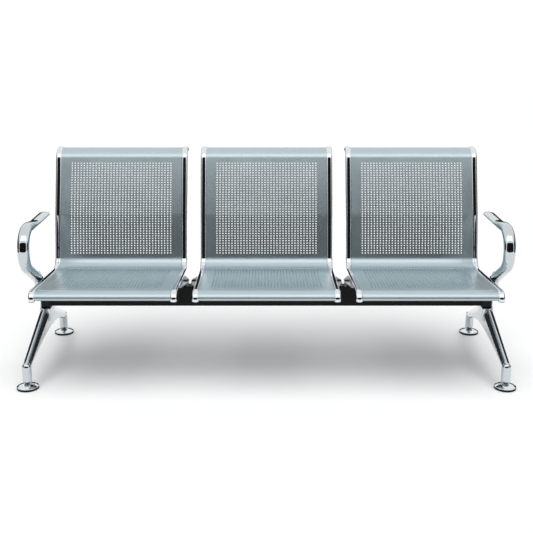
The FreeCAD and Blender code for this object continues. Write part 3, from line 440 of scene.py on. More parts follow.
# %% Plain margins at the sides
def pull_edge(piece, axis, at, stops):
    """Pull the border edges that lie at a place out to each stop in turn."""
    edit(piece)
    bpy.ops.mesh.select_mode(type="EDGE")
    last = at
    for stop in stops:
        choose(piece, "edges", lambda edge, middle: edge.is_boundary and abs(middle[axis] - last) < WELD
               and abs(edge.verts[0].co[axis] - edge.verts[1].co[axis]) < WELD)
        shift = [0.0, 0.0, 0.0]
        shift[axis] = stop - last
        bpy.ops.mesh.extrude_edges_move(TRANSFORM_OT_translate={"value": shift})
        last = stop
    let_go()


half_field = PITCH_ACROSS * COLUMNS / 2.0
for field in (seat_field, back_field):
    for side in (-1, 1):
        pull_edge(field, 1, side * half_field, [side * (SHEET_WIDTH / 2.0 + INTO_RAIL)])
print("width with margins", round(seat_field.dimensions.y, 4))

# %% [markdown]
# ## Joining and bending
#
# The two fields become one sheet. The runs that will be bent get a cut every few millimetres, because a
# mesh can only bend at its edges. Solidify then gives the sheet its 1.5 mm, and a Curve modifier bends it
# along the side view, as the press brake does. The holes stay round on their own sheet.


# %% One flat sheet
def evenly(first, last, count):
    """Stops from the first, left out, to the last."""
    return [first + (last - first) * step / count for step in range(1, count + 1)]


seat_end = SEAT_START + PITCH_ALONG * SEAT_ROWS
back_end = BACK_START + PITCH_ALONG * BACK_ROWS
pull_edge(seat_field, 0, SEAT_START, evenly(SEAT_START, 0.0, NOSE_CUTS))
pull_edge(seat_field, 0, seat_end, evenly(seat_end, BACK_START, HEEL_CUTS))
pull_edge(back_field, 0, back_end, evenly(back_end, LINE_LENGTH, CREST_CUTS))
sheet = join("flat_sheet", seat_field, back_field)
edit(sheet)
bpy.ops.mesh.remove_doubles(threshold=WELD)
bpy.ops.mesh.normals_make_consistent(inside=False)
let_go()
if sheet.data.polygons[0].normal.z < 0.0:
    edit(sheet)
    bpy.ops.mesh.flip_normals()
    let_go()
print("flat sheet,", triangles(sheet), "triangles, box", [round(side, 3) for side in sheet.dimensions])

# %% Thickness and bends
wall = sheet.modifiers.new("thickness", "SOLIDIFY")
wall.thickness = SHEET
wall.offset = -1.0
apply_modifiers(sheet)
bend_along(sheet, line_points)
smooth(sheet, 40.0)
low = [min(vert.co[axis] for vert in sheet.data.vertices) for axis in range(3)]
high = [max(vert.co[axis] for vert in sheet.data.vertices) for axis in range(3)]
print("bent sheet from", [round(v, 4) for v in low], "to", [round(v, 4) for v in high])
print("CAD sheet from", [round(v, 4) for v in SHEET_LOW], "to", [round(v, 4) for v in SHEET_HIGH])
print(triangles(sheet), "triangles")

# %% Three copies, one for each seat
for seat, centre in SEATS.items():
    shell = copy_to(sheet, "punched_sheet_" + seat, centre)
    hand_over(shell, "seat_shell_" + seat)
    print(shell.name, "at", round(centre, 4))
bpy.data.objects.remove(sheet)

# %% [markdown]
# ## The side rails
#
# A steel tube follows each side of the sheet, is welded to it and is then chromed. It is oval in section,
# so that its face shows a dark core between two bright edges. A curve with a bevel could draw it too, but
# its cuts are hard to place. So a plane with rounded corners gives the section, it is extruded along X
# with a cut wherever the line bends, and the same Curve modifier bends it.

# %% Sizes of the rail
RAIL_WIDTH = 24 * MM
RAIL_DEPTH = 18 * MM
RAIL_ROUND = 8.6 * MM
RAIL_PROUD = 3.5 * MM
RAIL_NOSE_BEND = 16 * MM
RAIL_NOSE_TURN = 45.0
CAP = 1.5 * MM
CAP_LEDGE = 0.4 * MM
RAIL_NOSE_RUN = 1 * MM
RAIL_NOSE_TAIL = 3 * MM
nose_reach = BENDS[1] * math.tan(math.radians(FACE_ANGLE - SEAT_ANGLE) / 2.0)
turn_reach = RAIL_NOSE_BEND * math.tan(math.radians(RAIL_NOSE_TURN) / 2.0)
rail_bottom = moved(NOSE, FACE_ANGLE + 180.0, nose_reach + RAIL_NOSE_RUN + turn_reach)
rail_end = moved(rail_bottom, FACE_ANGLE + 180.0 + RAIL_NOSE_TURN, turn_reach + RAIL_NOSE_TAIL)
rail_corners = [rail_end, rail_bottom] + SIDE_CORNERS[2:]
rail_bends = (RAIL_NOSE_BEND,) + BENDS[1:]
rail_points = bent_points(rail_corners, rail_bends, RAIL_PROUD - RAIL_DEPTH / 2.0)
rail_stops = lengths(rail_points)
print("the rail is", round(rail_stops[-1] / MM), "mm long and has", len(rail_stops), "cuts")


# %% A straight bar
TOUCH = 1e-6


def straight_bar(name, width, depth, corner, stops, sides=6):
    """A bar along X with a rounded section, cut across at each stop."""
    let_go()
    bpy.ops.mesh.primitive_plane_add(
        size=1.0, location=(stops[0], 0.0, 0.0), rotation=(0.0, math.pi / 2.0, 0.0))
    bar = bpy.context.object
    bar.name = name
    bar.scale = (depth, width, 1.0)
    settle(bar)
    edit(bar)
    bpy.ops.mesh.bevel(offset=corner, segments=sides, affect="VERTICES", clamp_overlap=False)
    bpy.ops.mesh.delete(type="ONLY_FACE")
    bpy.ops.mesh.select_all(action="SELECT")
    for last, stop in zip(stops, stops[1:]):
        bpy.ops.mesh.extrude_edges_move(TRANSFORM_OT_translate={"value": (stop - last, 0.0, 0.0)})
    for end in (stops[0], stops[-1]):
        choose(bar, "edges", lambda edge, middle: edge.is_boundary and abs(middle.x - end) < TOUCH)
        bpy.ops.mesh.edge_face_add()
    bpy.ops.mesh.select_all(action="SELECT")
    bpy.ops.mesh.normals_make_consistent(inside=False)
    let_go()
    return bar


print("ready to draw a bar")

# %% Six rails and their plugs
rail = straight_bar("rail", RAIL_WIDTH, RAIL_DEPTH, RAIL_ROUND, rail_stops)
bend_along(rail, rail_points)
smooth(rail, 40.0)
caps = []
for ends in ([-CAP, 0.0], [rail_stops[-1], rail_stops[-1] + CAP]):
    caps.append(straight_bar(
        "cap", RAIL_WIDTH + CAP_LEDGE, RAIL_DEPTH + CAP_LEDGE, RAIL_ROUND + CAP_LEDGE / 2.0, ends))
plug_pair = join("plug_pair", *caps)
bend_along(plug_pair, rail_points)
smooth(plug_pair, 40.0)
rail_place = (SHEET_WIDTH + RAIL_WIDTH) / 2.0
rails = []
for seat, centre in SEATS.items():
    plugs = []
    for side, sign in SIDES.items():
        shift = centre + sign * rail_place
        rails.append(copy_to(rail, "oval_rail_%s_%s" % (seat, side), shift))
        hand_over(rails[-1], "side_rail_%s_%s" % (seat, side))
        plugs.append(copy_to(plug_pair, "plugs", shift))
    caps_of_seat = join("rail_caps_" + seat, *plugs)
    hand_over(caps_of_seat, "rail_plugs_" + seat)
bpy.data.objects.remove(rail)
bpy.data.objects.remove(plug_pair)
print(len(rails), "rails of", triangles(rails[0]), "triangles")

# %% [markdown]
# ## The arm rests
#
# An arm rest is one aluminium casting, polished and chromed. A fat oval bar leaves the end of the beam,
# turns up and back, and runs out into a flat pad. It could be sculpted, but a straight bar is easier to
# measure: the loop of edges is extruded along X and resized at each step, and the bar is then bent like
# the rails. A flat lug with a round top takes its screws. Remesh melts bar and lug into one skin, and
# smoothing gives the soft fillet that a casting has.

# %% The straightened arm
ARM_WIDTH, ARM_DEPTH = 43 * MM, 34 * MM
ARM_ROUND = 16.5 * MM
PAD_WIDTH, PAD_THICKNESS, PAD_SHIFT = 46 * MM, 14 * MM, 6 * MM
ARM_CORNERS = [(-0.050, 0.345), (-0.226, 0.445), (-0.222, 0.566), (0.078, 0.570)]
ARM_BENDS = (78 * MM, 74 * MM)
NECK_START, NECK_END = 218 * MM, 128 * MM  # from the pad's tip
END_ANGLES = (15, 30, 45, 60, 72, 82, 87)
arm_points = bent_points(ARM_CORNERS, ARM_BENDS, run_step=6 * MM)
arm_length = lengths(arm_points)[-1]
print("arm", round(arm_length / MM), "mm along its middle")


# %% How the section changes
def ease(share):
    """Slow at both ends."""
    share = min(max(share, 0.0), 1.0)
    return share * share * (3.0 - 2.0 * share)


def arm_section(at):
    """Width, depth and sideways shift of the arm at a distance from its root."""
    share = ease((at - arm_length + NECK_START) / (NECK_START - NECK_END))
    width = ARM_WIDTH + (PAD_WIDTH - ARM_WIDTH) * share
    depth = ARM_DEPTH + (PAD_THICKNESS - ARM_DEPTH) * share
    if at < 0.0:
        close = math.sqrt(max(0.0, 1.0 - (at / (ARM_WIDTH / 2.0)) ** 2))
        width, depth = width * close, depth * close
    if at > arm_length:
        past = (at - arm_length) / (PAD_WIDTH / 2.0)
        width *= math.sqrt(max(0.0, 1.0 - past ** 2))
        depth *= math.sqrt(max(0.0, 1.0 - past ** 4))
    return width, depth, PAD_SHIFT * share


end_steps = [math.sin(math.radians(angle)) for angle in END_ANGLES]
arm_stops = [-ARM_WIDTH / 2.0 * step for step in reversed(end_steps)] + lengths(arm_points)
arm_stops += [arm_length + PAD_WIDTH / 2.0 * step for step in end_steps]
print("sections along the arm:", len(arm_stops))

# %% Draw, shape and bend the arm
arm = straight_bar("arm", ARM_WIDTH, ARM_DEPTH, ARM_ROUND, arm_stops, sides=8)
edit(arm)
bpy.ops.mesh.select_mode(type="VERT")
for stop in arm_stops:
    width, depth, shift = arm_section(stop)
    choose(arm, "verts", lambda vert, middle: abs(middle.x - stop) < TOUCH)
    bpy.ops.transform.resize(
        value=(1.0, width / ARM_WIDTH, depth / ARM_DEPTH), center_override=(stop, 0.0, 0.0))
    bpy.ops.transform.translate(value=(0.0, -shift, 0.0))
bend_along(arm, arm_points)
arm_centre_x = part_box("arm_rest_right")[1][0] - ARM_WIDTH / 2.0
arm.location = (-arm_centre_x, 0.0, 0.0)
settle(arm)
print("bar of the arm rest,", triangles(arm), "triangles")

# %% The lug
LUG_THICKNESS, LUG_WIDTH = 16 * MM, 54 * MM
LUG_LOW, LUG_HIGH = 262 * MM, 372 * MM
LUG_OUTER = arm_centre_x + 9.3 * MM
lug_middle = (-(LUG_OUTER - LUG_THICKNESS / 2.0), centre_of("beam")[1], (LUG_LOW + LUG_HIGH) / 2.0)
let_go()
bpy.ops.mesh.primitive_cube_add(size=1.0, location=lug_middle)
lug = bpy.context.object
lug.scale = (LUG_THICKNESS, LUG_WIDTH, LUG_HIGH - LUG_LOW)
settle(lug)
edit(lug)
bpy.ops.mesh.select_mode(type="EDGE")
choose(lug, "edges", lambda edge, middle: middle.z > LUG_HIGH - 10 * TOUCH
       and abs(middle.x - lug_middle[0]) < 10 * TOUCH)
bpy.ops.mesh.bevel(offset=LUG_WIDTH / 2.0 - 0.1 * MM, segments=16, affect="EDGES")
let_go()
print("lug,", triangles(lug), "triangles")


# %% One skin over bar and lug
def cast_skin(piece, voxel=2 * MM, rounds=10):
    """Melt a piece into one even skin and smooth it, as sanding and polishing do."""
    skin = piece.modifiers.new("skin", "REMESH")
    skin.mode = "VOXEL"
    skin.voxel_size = voxel
    skin.use_smooth_shade = True
    polish = piece.modifiers.new("polish", "SMOOTH")
    polish.factor = 0.5
    polish.iterations = rounds
    apply_modifiers(piece)


arm_left = join("arm_rest_casting_left", arm, lug)
cast_skin(arm_left)
print("arm rest,", triangles(arm_left), "triangles")


# %% Its mirror image at the other end
def mirrored(piece, name):
    """The mirror image of a piece on the other side of X = 0, its faces turned outwards again."""
    twin = twin_of(piece, name)
    twin.scale = (-1.0, 1.0, 1.0)
    settle(twin)
    edit(twin)
    bpy.ops.mesh.normals_make_consistent(inside=False)
    let_go()
    return twin


arm_right = mirrored(arm_left, "arm_rest_casting_right")
for side, piece in (("left", arm_left), ("right", arm_right)):
    hand_over(piece, "arm_rest_" + side)
print("arm rests at", round(-arm_centre_x, 4), "and", round(arm_centre_x, 4))

# %% [markdown]
# ## The legs
#
# A leg is one casting too: a saddle under the beam, a cheek over its end, and two arms that run out to the
# sockets of the feet. The CAD leg has the right facets but knife-sharp edges, which no casting has. A
# bevel would tangle where its small facets meet. So a copy of its mesh is merged, remeshed into an even
# skin and smoothed, which rounds every edge and fills every inner corner a little.

# %% Two leg castings
leg_left = twin_of(nodes["leg_left"], "leg_casting_left")
leg_left.parent = None
leg_left.matrix_world = nodes["leg_left"].matrix_world
settle(leg_left)
edit(leg_left)
bpy.ops.mesh.remove_doubles(threshold=10 * TOUCH)
let_go()
cast_skin(leg_left, rounds=8)
leg_right = mirrored(leg_left, "leg_casting_right")
for side, piece in (("left", leg_left), ("right", leg_right)):
    hand_over(piece, "leg_" + side)
print("leg,", triangles(leg_left), "triangles")

# %% [markdown]
# ## The levelling feet
#
# Each foot is turned: a pressed and chromed cup, a rubber pad that keeps it from slipping, and a threaded
# stem. Half of the outline is drawn with extruded points and spun about the upright axis, as on a lathe.
# The stem's thread is a row of rings, one for each 1.5 mm of its pitch, since a true spiral would look the
# same at this size. A thin chamfered nut locks the stem.

# %% Turning a piece
def turned(name, outline, place, steps=48):
    """A piece turned about an upright axis from half of its outline, given as radius and height."""
    let_go()
    first = (place[0] + outline[0][0], place[1], outline[0][1])
    bpy.ops.mesh.primitive_plane_add(size=0.1 * MM, location=first)
    piece = bpy.context.object
    piece.name = name
    settle(piece)
    edit(piece)
    bpy.ops.mesh.select_mode(type="VERT")
    bpy.ops.mesh.select_all(action="SELECT")
    bpy.ops.mesh.merge(type="CENTER")
    for (radius, height), (next_radius, next_height) in zip(outline, outline[1:]):
        bpy.ops.mesh.extrude_vertices_move(
            TRANSFORM_OT_translate={"value": (next_radius - radius, 0.0, next_height - height)})
    bpy.ops.mesh.select_all(action="SELECT")
    bpy.ops.mesh.spin(
        steps=steps, angle=2.0 * math.pi, center=(place[0], place[1], 0.0), axis=(0.0, 0.0, 1.0))
    bpy.ops.mesh.select_all(action="SELECT")
    bpy.ops.mesh.remove_doubles(threshold=0.01 * MM)
    bpy.ops.mesh.normals_make_consistent(inside=False)
    let_go()
    smooth(piece, 32.0)
    return piece


print("lathe ready")


# %% Outlines of the foot, as radius and height in metres
def rounded(points, radius, steps=4, share_of_side=0.45):
    """An outline with all but its two ends rounded by short curves."""
    result = [points[0]]
    for before, corner, after in zip(points, points[1:], points[2:]):
        to_before = Vector(before) - Vector(corner)
        to_after = Vector(after) - Vector(corner)
        reach = min(radius, to_before.length * share_of_side, to_after.length * share_of_side)
        first = Vector(corner) + to_before.normalized() * reach
        last = Vector(corner) + to_after.normalized() * reach
        for step in range(steps + 1):
            share = step / steps
            a = first.lerp(Vector(corner), share)
            b = Vector(corner).lerp(last, share)
            result.append(tuple(a.lerp(b, share)))
    result.append(points[-1])
    return result


CUP_ROUND, PAD_ROUND = 1.6 * MM, 1 * MM
CUP = rounded(
    [(0.0104, 0.0072), (0.0375, 0.0072), (0.0394, 0.0082), (0.0396, 0.0104), (0.0300, 0.0152),
     (0.0190, 0.0186), (0.0120, 0.0204), (0.0118, 0.0219), (0.0051, 0.0219), (0.0051, 0.0165)], CUP_ROUND)
CUP += [(0.0104, 0.0165), (0.0104, 0.0072)]
PAD = rounded(
    [(0.0, 0.0001), (0.0372, 0.0001), (0.0399, 0.0020), (0.0399, 0.0062), (0.0372, 0.0074),
     (0.0103, 0.0074), (0.0103, 0.0078), (0.0, 0.0078)], PAD_ROUND)
THREAD_PITCH = 1.5 * MM
THREAD_LOW, THREAD_HIGH = 22.6 * MM, 81.5 * MM
CREST, ROOT = 4.9 * MM, 4.2 * MM
STEM = [(0.0, 0.0085), (0.0098, 0.0085), (0.0098, 0.0096), (CREST, 0.0098)]
height = THREAD_LOW
while height < THREAD_HIGH:
    STEM += [(CREST, height), (CREST, height + 0.15 * THREAD_PITCH),
             (ROOT, height + 0.5 * THREAD_PITCH), (ROOT, height + 0.65 * THREAD_PITCH)]
    height += THREAD_PITCH
STEM += [(CREST, height), (4 * MM, height + 1 * MM), (0.0, height + 1 * MM)]
print("points in the outlines:", len(CUP), len(PAD), len(STEM))

# %% A thin nut with its corners turned down
NUT_FLATS, NUT_LOW, NUT_HIGH = 17 * MM, 22.3 * MM, 27.2 * MM
NUT_CHAMFER = 0.7 * MM


def chamfered_nut(name, place):
    """A six-sided nut with its corners turned down."""
    let_go()
    middle = (place[0], place[1], (NUT_LOW + NUT_HIGH) / 2.0)
    bpy.ops.mesh.primitive_cylinder_add(
        vertices=6, radius=NUT_FLATS / math.sqrt(3.0), depth=NUT_HIGH - NUT_LOW, location=middle)
    nut = bpy.context.object
    nut.name = name
    settle(nut)
    edges = nut.modifiers.new("edges", "BEVEL")
    edges.width = NUT_CHAMFER
    edges.segments = 2
    apply_modifiers(nut)
    smooth(nut, 30.0)
    return nut


print("nut ready")

# %% Four feet
for corner, place in CORNERS.items():
    cup = turned("pressed_cup_" + corner, CUP, place)
    hand_over(cup, "foot_cup_" + corner, "foot_" + corner)
    pad = turned("rubber_pad_" + corner, PAD, place)
    hand_over(pad, "foot_pad_" + corner, "foot_" + corner)
    stem = turned("threaded_stem_" + corner, STEM, place, steps=24)
    hand_over(stem, "foot_stem_" + corner, "stem_" + corner)
    nut = chamfered_nut("thin_nut_" + corner, place)
    hand_over(nut, "lock_nut_" + corner)
print("feet:", triangles(cup), triangles(pad), triangles(stem), triangles(nut), "triangles")

# %% [markdown]
# ## Finishes
#
# Three kinds of finish cover the whole bench. Powder coat is paint baked from dust: it has a faint orange
# peel. Plate is a mirror skin of chromium or zinc, and shows every ripple of the metal under it. Moulded
# plastic and rubber have a fine grain from the mould. Plain colours would look like plastic toys up close.
# So each kind is a node group with its own inputs, and two pieces with the same kind of finish can differ
# in colour and grain.

# %% Groups and sums
def new_group(name, inputs, outputs):
    """An empty node group with named inputs (with their usual values) and outputs."""
    group = bpy.data.node_groups.new(name, "ShaderNodeTree")
    for title, kind, usual in inputs:
        socket = group.interface.new_socket(title, in_out="INPUT", socket_type="NodeSocket" + kind)
        socket.default_value = usual
    for title, kind in outputs:
        group.interface.new_socket(title, in_out="OUTPUT", socket_type="NodeSocket" + kind)
    return group, group.nodes.new("NodeGroupInput"), group.nodes.new("NodeGroupOutput")


def math_node(tree, operation, first, second):
    """A Math node between two sockets or numbers; gives its output."""
    node = tree.nodes.new("ShaderNodeMath")
    node.operation = operation
    for place, value in enumerate((first, second)):
        if isinstance(value, (int, float)):
            node.inputs[place].default_value = value
        else:
            tree.links.new(value, node.inputs[place])
    return node.outputs[0]


print("groups and sums ready")


# %% Noise and tint
def noise_node(tree, place, scale, detail=2.0, roughness=0.5):
    """A Noise node on object coordinates; scale is a socket or a number of waves in a metre."""
    node = tree.nodes.new("ShaderNodeTexNoise")
    tree.links.new(place, node.inputs["Vector"])
    node.inputs["Detail"].default_value = detail
    node.inputs["Roughness"].default_value = roughness
    if isinstance(scale, (int, float)):
        node.inputs["Scale"].default_value = scale
    else:
        tree.links.new(scale, node.inputs["Scale"])
    return node.outputs[0]


NOISE_LOW, NOISE_HIGH = 0.3, 0.7  # a noise seldom leaves these


def spread(tree, value, low, high):
    """Stretch a noise, which stays near its middle, to run from low to high."""
    node = tree.nodes.new("ShaderNodeMapRange")
    tree.links.new(value, node.inputs["Value"])
    node.inputs["From Min"].default_value = NOISE_LOW
    node.inputs["From Max"].default_value = NOISE_HIGH
    for title, end in (("To Min", low), ("To Max", high)):
        if isinstance(end, (int, float)):
            node.inputs[title].default_value = end
        else:
            tree.links.new(end, node.inputs[title])
    return node.outputs[0]


def tinted(tree, colour, brightness):
    """A colour made lighter or darker by a number."""
    node = tree.nodes.new("ShaderNodeVectorMath")
    node.operation = "SCALE"
    tree.links.new(colour, node.inputs[0])
    tree.links.new(brightness, node.inputs["Scale"])
    return node.outputs[0]


print("noise and tint ready")

# %% Powder coat
FLAKES, GLITTER = 2600.0, (-0.03, 0.03)
PATCHES, PATCHY_COLOUR, PATCHY_GLOSS = 9.0, (0.985, 1.015), (0.94, 1.08)
PEEL_DEPTH = 0.004
coat_group, coat_in, coat_out = new_group(
    "powder_coat",
    [("Colour", "Color", (0.5, 0.55, 0.58, 1.0)), ("Gloss Loss", "Float", 0.35), ("Grain", "Float", 900.0),
     ("Waves", "Float", 5.0), ("Wave Depth", "Float", 0.4)],
    [("Colour", "Color"), ("Roughness", "Float"), ("Height", "Float")])
place = coat_group.nodes.new("ShaderNodeTexCoord").outputs["Object"]
peel = noise_node(coat_group, place, coat_in.outputs["Grain"])
flakes = noise_node(coat_group, place, FLAKES, detail=1.0)
waves = noise_node(coat_group, place, coat_in.outputs["Waves"], detail=1.0)
patches = noise_node(coat_group, place, PATCHES, detail=3.0)
glitter = spread(coat_group, flakes, *GLITTER)
shade = math_node(coat_group, "ADD", glitter, spread(coat_group, patches, *PATCHY_COLOUR))
coat_group.links.new(tinted(coat_group, coat_in.outputs["Colour"], shade), coat_out.inputs["Colour"])
uneven = spread(coat_group, patches, *PATCHY_GLOSS)
dull = math_node(coat_group, "MULTIPLY", coat_in.outputs["Gloss Loss"], uneven)
coat_group.links.new(dull, coat_out.inputs["Roughness"])
wavy = math_node(coat_group, "MULTIPLY", waves, coat_in.outputs["Wave Depth"])
relief = math_node(coat_group, "ADD", math_node(coat_group, "MULTIPLY", peel, PEEL_DEPTH), wavy)
coat_group.links.new(relief, coat_out.inputs["Height"])
print(coat_group.name, [item.name for item in coat_group.interface.items_tree])

# %% Bright plate
SMEARS, SMEARED_COLOUR, SMEARED_GLOSS = 14.0, (0.97, 1.0), (0.7, 1.5)
plate_group, plate_in, plate_out = new_group(
    "bright_plate",
    [("Colour", "Color", (0.8, 0.82, 0.84, 1.0)), ("Gloss Loss", "Float", 0.05), ("Ripples", "Float", 30.0),
     ("Ripple Depth", "Float", 0.05)],
    [("Colour", "Color"), ("Roughness", "Float"), ("Height", "Float")])
place = plate_group.nodes.new("ShaderNodeTexCoord").outputs["Object"]
ripples = noise_node(plate_group, place, plate_in.outputs["Ripples"], detail=1.0)
smears = noise_node(plate_group, place, SMEARS, detail=4.0, roughness=0.6)
tint = tinted(plate_group, plate_in.outputs["Colour"], spread(plate_group, smears, *SMEARED_COLOUR))
plate_group.links.new(tint, plate_out.inputs["Colour"])
uneven = spread(plate_group, smears, *SMEARED_GLOSS)
dull = math_node(plate_group, "MULTIPLY", plate_in.outputs["Gloss Loss"], uneven)
plate_group.links.new(dull, plate_out.inputs["Roughness"])
relief = math_node(plate_group, "MULTIPLY", ripples, plate_in.outputs["Ripple Depth"])
plate_group.links.new(relief, plate_out.inputs["Height"])
print(plate_group.name, [item.name for item in plate_group.interface.items_tree])

# %% Moulded plastic and rubber
SCUFFS, SCUFFED_COLOUR, SCUFFED_GLOSS = 40.0, (0.85, 1.25), (0.9, 1.1)
GRAIN_DEPTH = 0.03
mould_group, mould_in, mould_out = new_group(
    "moulded_grain",
    [("Colour", "Color", (0.012, 0.012, 0.012, 1.0)), ("Gloss Loss", "Float", 0.5),
     ("Grain", "Float", 1500.0)],
    [("Colour", "Color"), ("Roughness", "Float"), ("Height", "Float")])
place = mould_group.nodes.new("ShaderNodeTexCoord").outputs["Object"]
grain = noise_node(mould_group, place, mould_in.outputs["Grain"], detail=3.0)
scuffs = noise_node(mould_group, place, SCUFFS, detail=4.0, roughness=0.65)
tint = tinted(mould_group, mould_in.outputs["Colour"], spread(mould_group, scuffs, *SCUFFED_COLOUR))
mould_group.links.new(tint, mould_out.inputs["Colour"])
uneven = spread(mould_group, scuffs, *SCUFFED_GLOSS)
dull = math_node(mould_group, "MULTIPLY", mould_in.outputs["Gloss Loss"], uneven)
mould_group.links.new(dull, mould_out.inputs["Roughness"])
relief = math_node(mould_group, "MULTIPLY", grain, GRAIN_DEPTH)
mould_group.links.new(relief, mould_out.inputs["Height"])
print(mould_group.name, [item.name for item in mould_group.interface.items_tree])


# %% A finish from a group
FINISHES = {}


def finish_from(name, group, colour, metallic=0.0, shine=0.5, **recipe):
    """A material whose colour, roughness and bump come from a finish group, kept under its name."""
    material = bpy.data.materials.new(name)
    material.use_nodes = True
    tree = material.node_tree
    surface = tree.nodes["Principled BSDF"]
    surface.inputs["Metallic"].default_value = metallic
    surface.inputs["Specular IOR Level"].default_value = shine
    source = tree.nodes.new("ShaderNodeGroup")
    source.node_tree = group
    source.inputs["Colour"].default_value = (*colour, 1.0)
    for title, value in recipe.items():
        source.inputs[title.replace("_", " ").title()].default_value = value
    bump = tree.nodes.new("ShaderNodeBump")
    bump.inputs["Strength"].default_value = 1.0
    bump.inputs["Distance"].default_value = 1 * MM
    tree.links.new(source.outputs["Colour"], surface.inputs["Base Color"])
    tree.links.new(source.outputs["Roughness"], surface.inputs["Roughness"])
    tree.links.new(source.outputs["Height"], bump.inputs["Height"])
    tree.links.new(bump.outputs["Normal"], surface.inputs["Normal"])
    FINISHES[name] = material


print("ready to mix finishes")

# %% Painted steel, plastic and rubber
finish_from(
    "silver_powder_coat", coat_group, (0.465, 0.555, 0.59), metallic=0.8, gloss_loss=0.30, wave_depth=0.5)
finish_from(
    "grey_paint", coat_group, (0.45, 0.48, 0.50), metallic=0.6, gloss_loss=0.32, waves=20.0, wave_depth=0.1)
finish_from(
    "black_powder_coat", coat_group, (0.006, 0.006, 0.007), shine=0.12, gloss_loss=0.30, waves=3.0,
    wave_depth=0.2)
finish_from("black_plastic", mould_group, (0.008, 0.008, 0.008), shine=0.2, gloss_loss=0.42)
finish_from("black_rubber", mould_group, (0.008, 0.008, 0.008), shine=0.2, gloss_loss=0.62, grain=900.0)
print(sorted(FINISHES))

# %% Chrome, zinc and blackened steel
finish_from("bright_chrome", plate_group, (0.76, 0.79, 0.82), metallic=1.0, gloss_loss=0.04)
finish_from(
    "chromed_casting", plate_group, (0.60, 0.65, 0.68), metallic=1.0, gloss_loss=0.06, ripple_depth=0.1)
finish_from("bright_zinc", plate_group, (0.62, 0.64, 0.67), metallic=1.0, gloss_loss=0.22, ripples=120.0)
finish_from(
    "blackened_steel", plate_group, (0.035, 0.035, 0.037), metallic=0.7, gloss_loss=0.30, ripples=200.0)
print(len(FINISHES), "finishes")

# %% Which piece has which finish
SLOT_FINISHES = {
    "shell_silver": "silver_powder_coat", "bar_silver": "silver_powder_coat", "bracket_grey": "grey_paint",
    "beam_black": "black_powder_coat", "sleeve_black": "black_plastic", "plug_black": "black_plastic",
    "rail_chrome": "bright_chrome", "foot_chrome": "bright_chrome", "leg_chrome": "chromed_casting",
    "arm_chrome": "chromed_casting", "screw_dark": "blackened_steel", "nut_black": "blackened_steel",
    "screw_bright": "bright_zinc", "stem_steel": "bright_zinc", "foot_rubber": "black_rubber"}
NEW_PIECES = {
    "punched_sheet": "shell_silver", "oval_rail": "rail_chrome", "rail_caps": "plug_black",
    "arm_rest_casting": "arm_chrome", "leg_casting": "leg_chrome", "pressed_cup": "foot_chrome",
    "rubber_pad": "foot_rubber", "threaded_stem": "stem_steel", "thin_nut": "nut_black"}


def dress(piece, slot):
    """Give a piece its slot's finish and nothing else."""
    piece.data.materials.clear()
    piece.data.materials.append(FINISHES[SLOT_FINISHES[slot]])


for subpart in frame["record"]["subparts"]:
    dress(nodes[subpart["node"]], subpart["material_slot"])
print(len(nodes), "CAD nodes have their finish")
for start, slot in NEW_PIECES.items():
    same = [piece for piece in bpy.data.objects if piece.name.startswith(start)]
    for piece in same:
        dress(piece, slot)
    print(start, len(same), SLOT_FINISHES[slot])

# %% [markdown]
# ## The studio
#
# The bench stands on a wide sheet of white paper, under even white light and a soft light from
# above. Chrome shows only what stands round it, so a photographer puts up card: a tall black card in front
# draws the dark core of the rails, lower ones at the sides and behind draw the dark lines of the legs, and
# a bright card above the front draws the light bands along nose, heel and crest.

# %% White paper
def plain_material(name):
    """A new material with an empty node tree and its output."""
    material = bpy.data.materials.new(name)
    material.use_nodes = True
    material.node_tree.nodes.clear()
    return material, material.node_tree, material.node_tree.nodes.new("ShaderNodeOutputMaterial")


PAPER_SIZE = 60.0
PAPER_WHITE = 0.9
let_go()
bpy.ops.mesh.primitive_plane_add(size=PAPER_SIZE, location=(0.0, 0.0, 0.0))
floor = bpy.context.object
floor.name = "white_paper"
paper, tree, out = plain_material("white_paper")
paper_face = tree.nodes.new("ShaderNodeBsdfDiffuse")
paper_face.inputs["Color"].default_value = (PAPER_WHITE, PAPER_WHITE, PAPER_WHITE, 1.0)
paper_glow = tree.nodes.new("ShaderNodeEmission")
ray = tree.nodes.new("ShaderNodeLightPath")
seen = math_node(tree, "ADD", ray.outputs["Is Camera Ray"], ray.outputs["Is Glossy Ray"])
tree.links.new(math_node(tree, "MULTIPLY", seen, 1.0 - PAPER_WHITE), paper_glow.inputs["Strength"])
together = tree.nodes.new("ShaderNodeAddShader")
tree.links.new(paper_face.outputs[0], together.inputs[0])
tree.links.new(paper_glow.outputs[0], together.inputs[1])
tree.links.new(together.outputs[0], out.inputs["Surface"])
floor.data.materials.append(paper)
print("paper", PAPER_SIZE, "m wide")

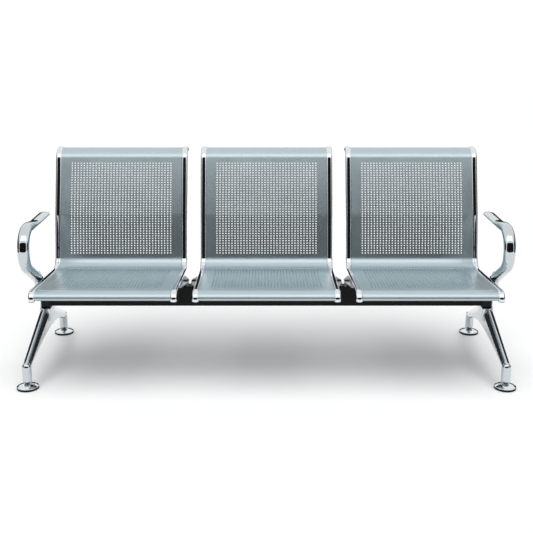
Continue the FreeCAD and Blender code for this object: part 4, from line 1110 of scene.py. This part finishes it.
# %% Even light all round
SKY_LIGHT = 0.35
SKY_SEEN = 1.0
world = bpy.data.worlds.new("even_light")
bpy.context.scene.world = world
world.use_nodes = True
tree = world.node_tree
sky = tree.nodes["Background"]
sky.inputs["Color"].default_value = (1.0, 1.0, 1.0, 1.0)
ray = tree.nodes.new("ShaderNodeLightPath")
seen = math_node(tree, "ADD", ray.outputs["Is Camera Ray"], ray.outputs["Is Glossy Ray"])
level = tree.nodes.new("ShaderNodeMapRange")
tree.links.new(seen, level.inputs["Value"])
level.inputs["To Min"].default_value = SKY_LIGHT
level.inputs["To Max"].default_value = SKY_SEEN
tree.links.new(level.outputs[0], sky.inputs["Strength"])
print("even light", SKY_LIGHT)

# %% Light from above
ABOVE_LEVEL = 0.7
ABOVE_SPREAD = 60.0
ABOVE_TILT = 8.0
above = bpy.data.lights.new("light_from_above", "SUN")
above.energy = ABOVE_LEVEL * math.pi
above.angle = math.radians(ABOVE_SPREAD)
above_light = bpy.data.objects.new("light_from_above", above)
bpy.context.scene.collection.objects.link(above_light)
above_light.rotation_euler = (math.radians(ABOVE_TILT), 0.0, 0.0)
above_light.visible_glossy = False
print("light from above", ABOVE_LEVEL)

# %% Cards that the chrome and the coat reflect
BLACK, SOFT_WHITE = 0.01, 1.8


def card(name, width, height, location, turns, grey):
    """A card that only reflections see."""
    let_go()
    bpy.ops.mesh.primitive_plane_add(
        size=1.0, location=location, rotation=[math.radians(turn) for turn in turns])
    piece = bpy.context.object
    piece.name = name
    piece.scale = (width, height, 1.0)
    settle(piece)
    material, tree, out = plain_material(name)
    face = tree.nodes.new("ShaderNodeEmission")
    face.inputs["Color"].default_value = (grey, grey, grey, 1.0)
    tree.links.new(face.outputs[0], out.inputs["Surface"])
    piece.data.materials.append(material)
    piece.visible_camera = False
    piece.visible_diffuse = False
    piece.visible_shadow = False
    piece.visible_transmission = False


card("front_card", 9.0, 3.4, (0.0, -3.9, 1.5), (90.0, 0.0, 0.0), BLACK)
card("back_card", 8.0, 1.25, (0.0, 3.4, 0.66), (90.0, 0.0, 0.0), 2.0 * BLACK)
for side, sign in SIDES.items():
    card("card_" + side, 5.0, 1.5, (sign * 3.2, 0.9, 0.78), (90.0, 0.0, 90.0), 3.0 * BLACK)
card("softbox", 4.6, 1.3, (0.0, -1.6, 2.85), (52.0, 0.0, 0.0), SOFT_WHITE)
print("studio ready")
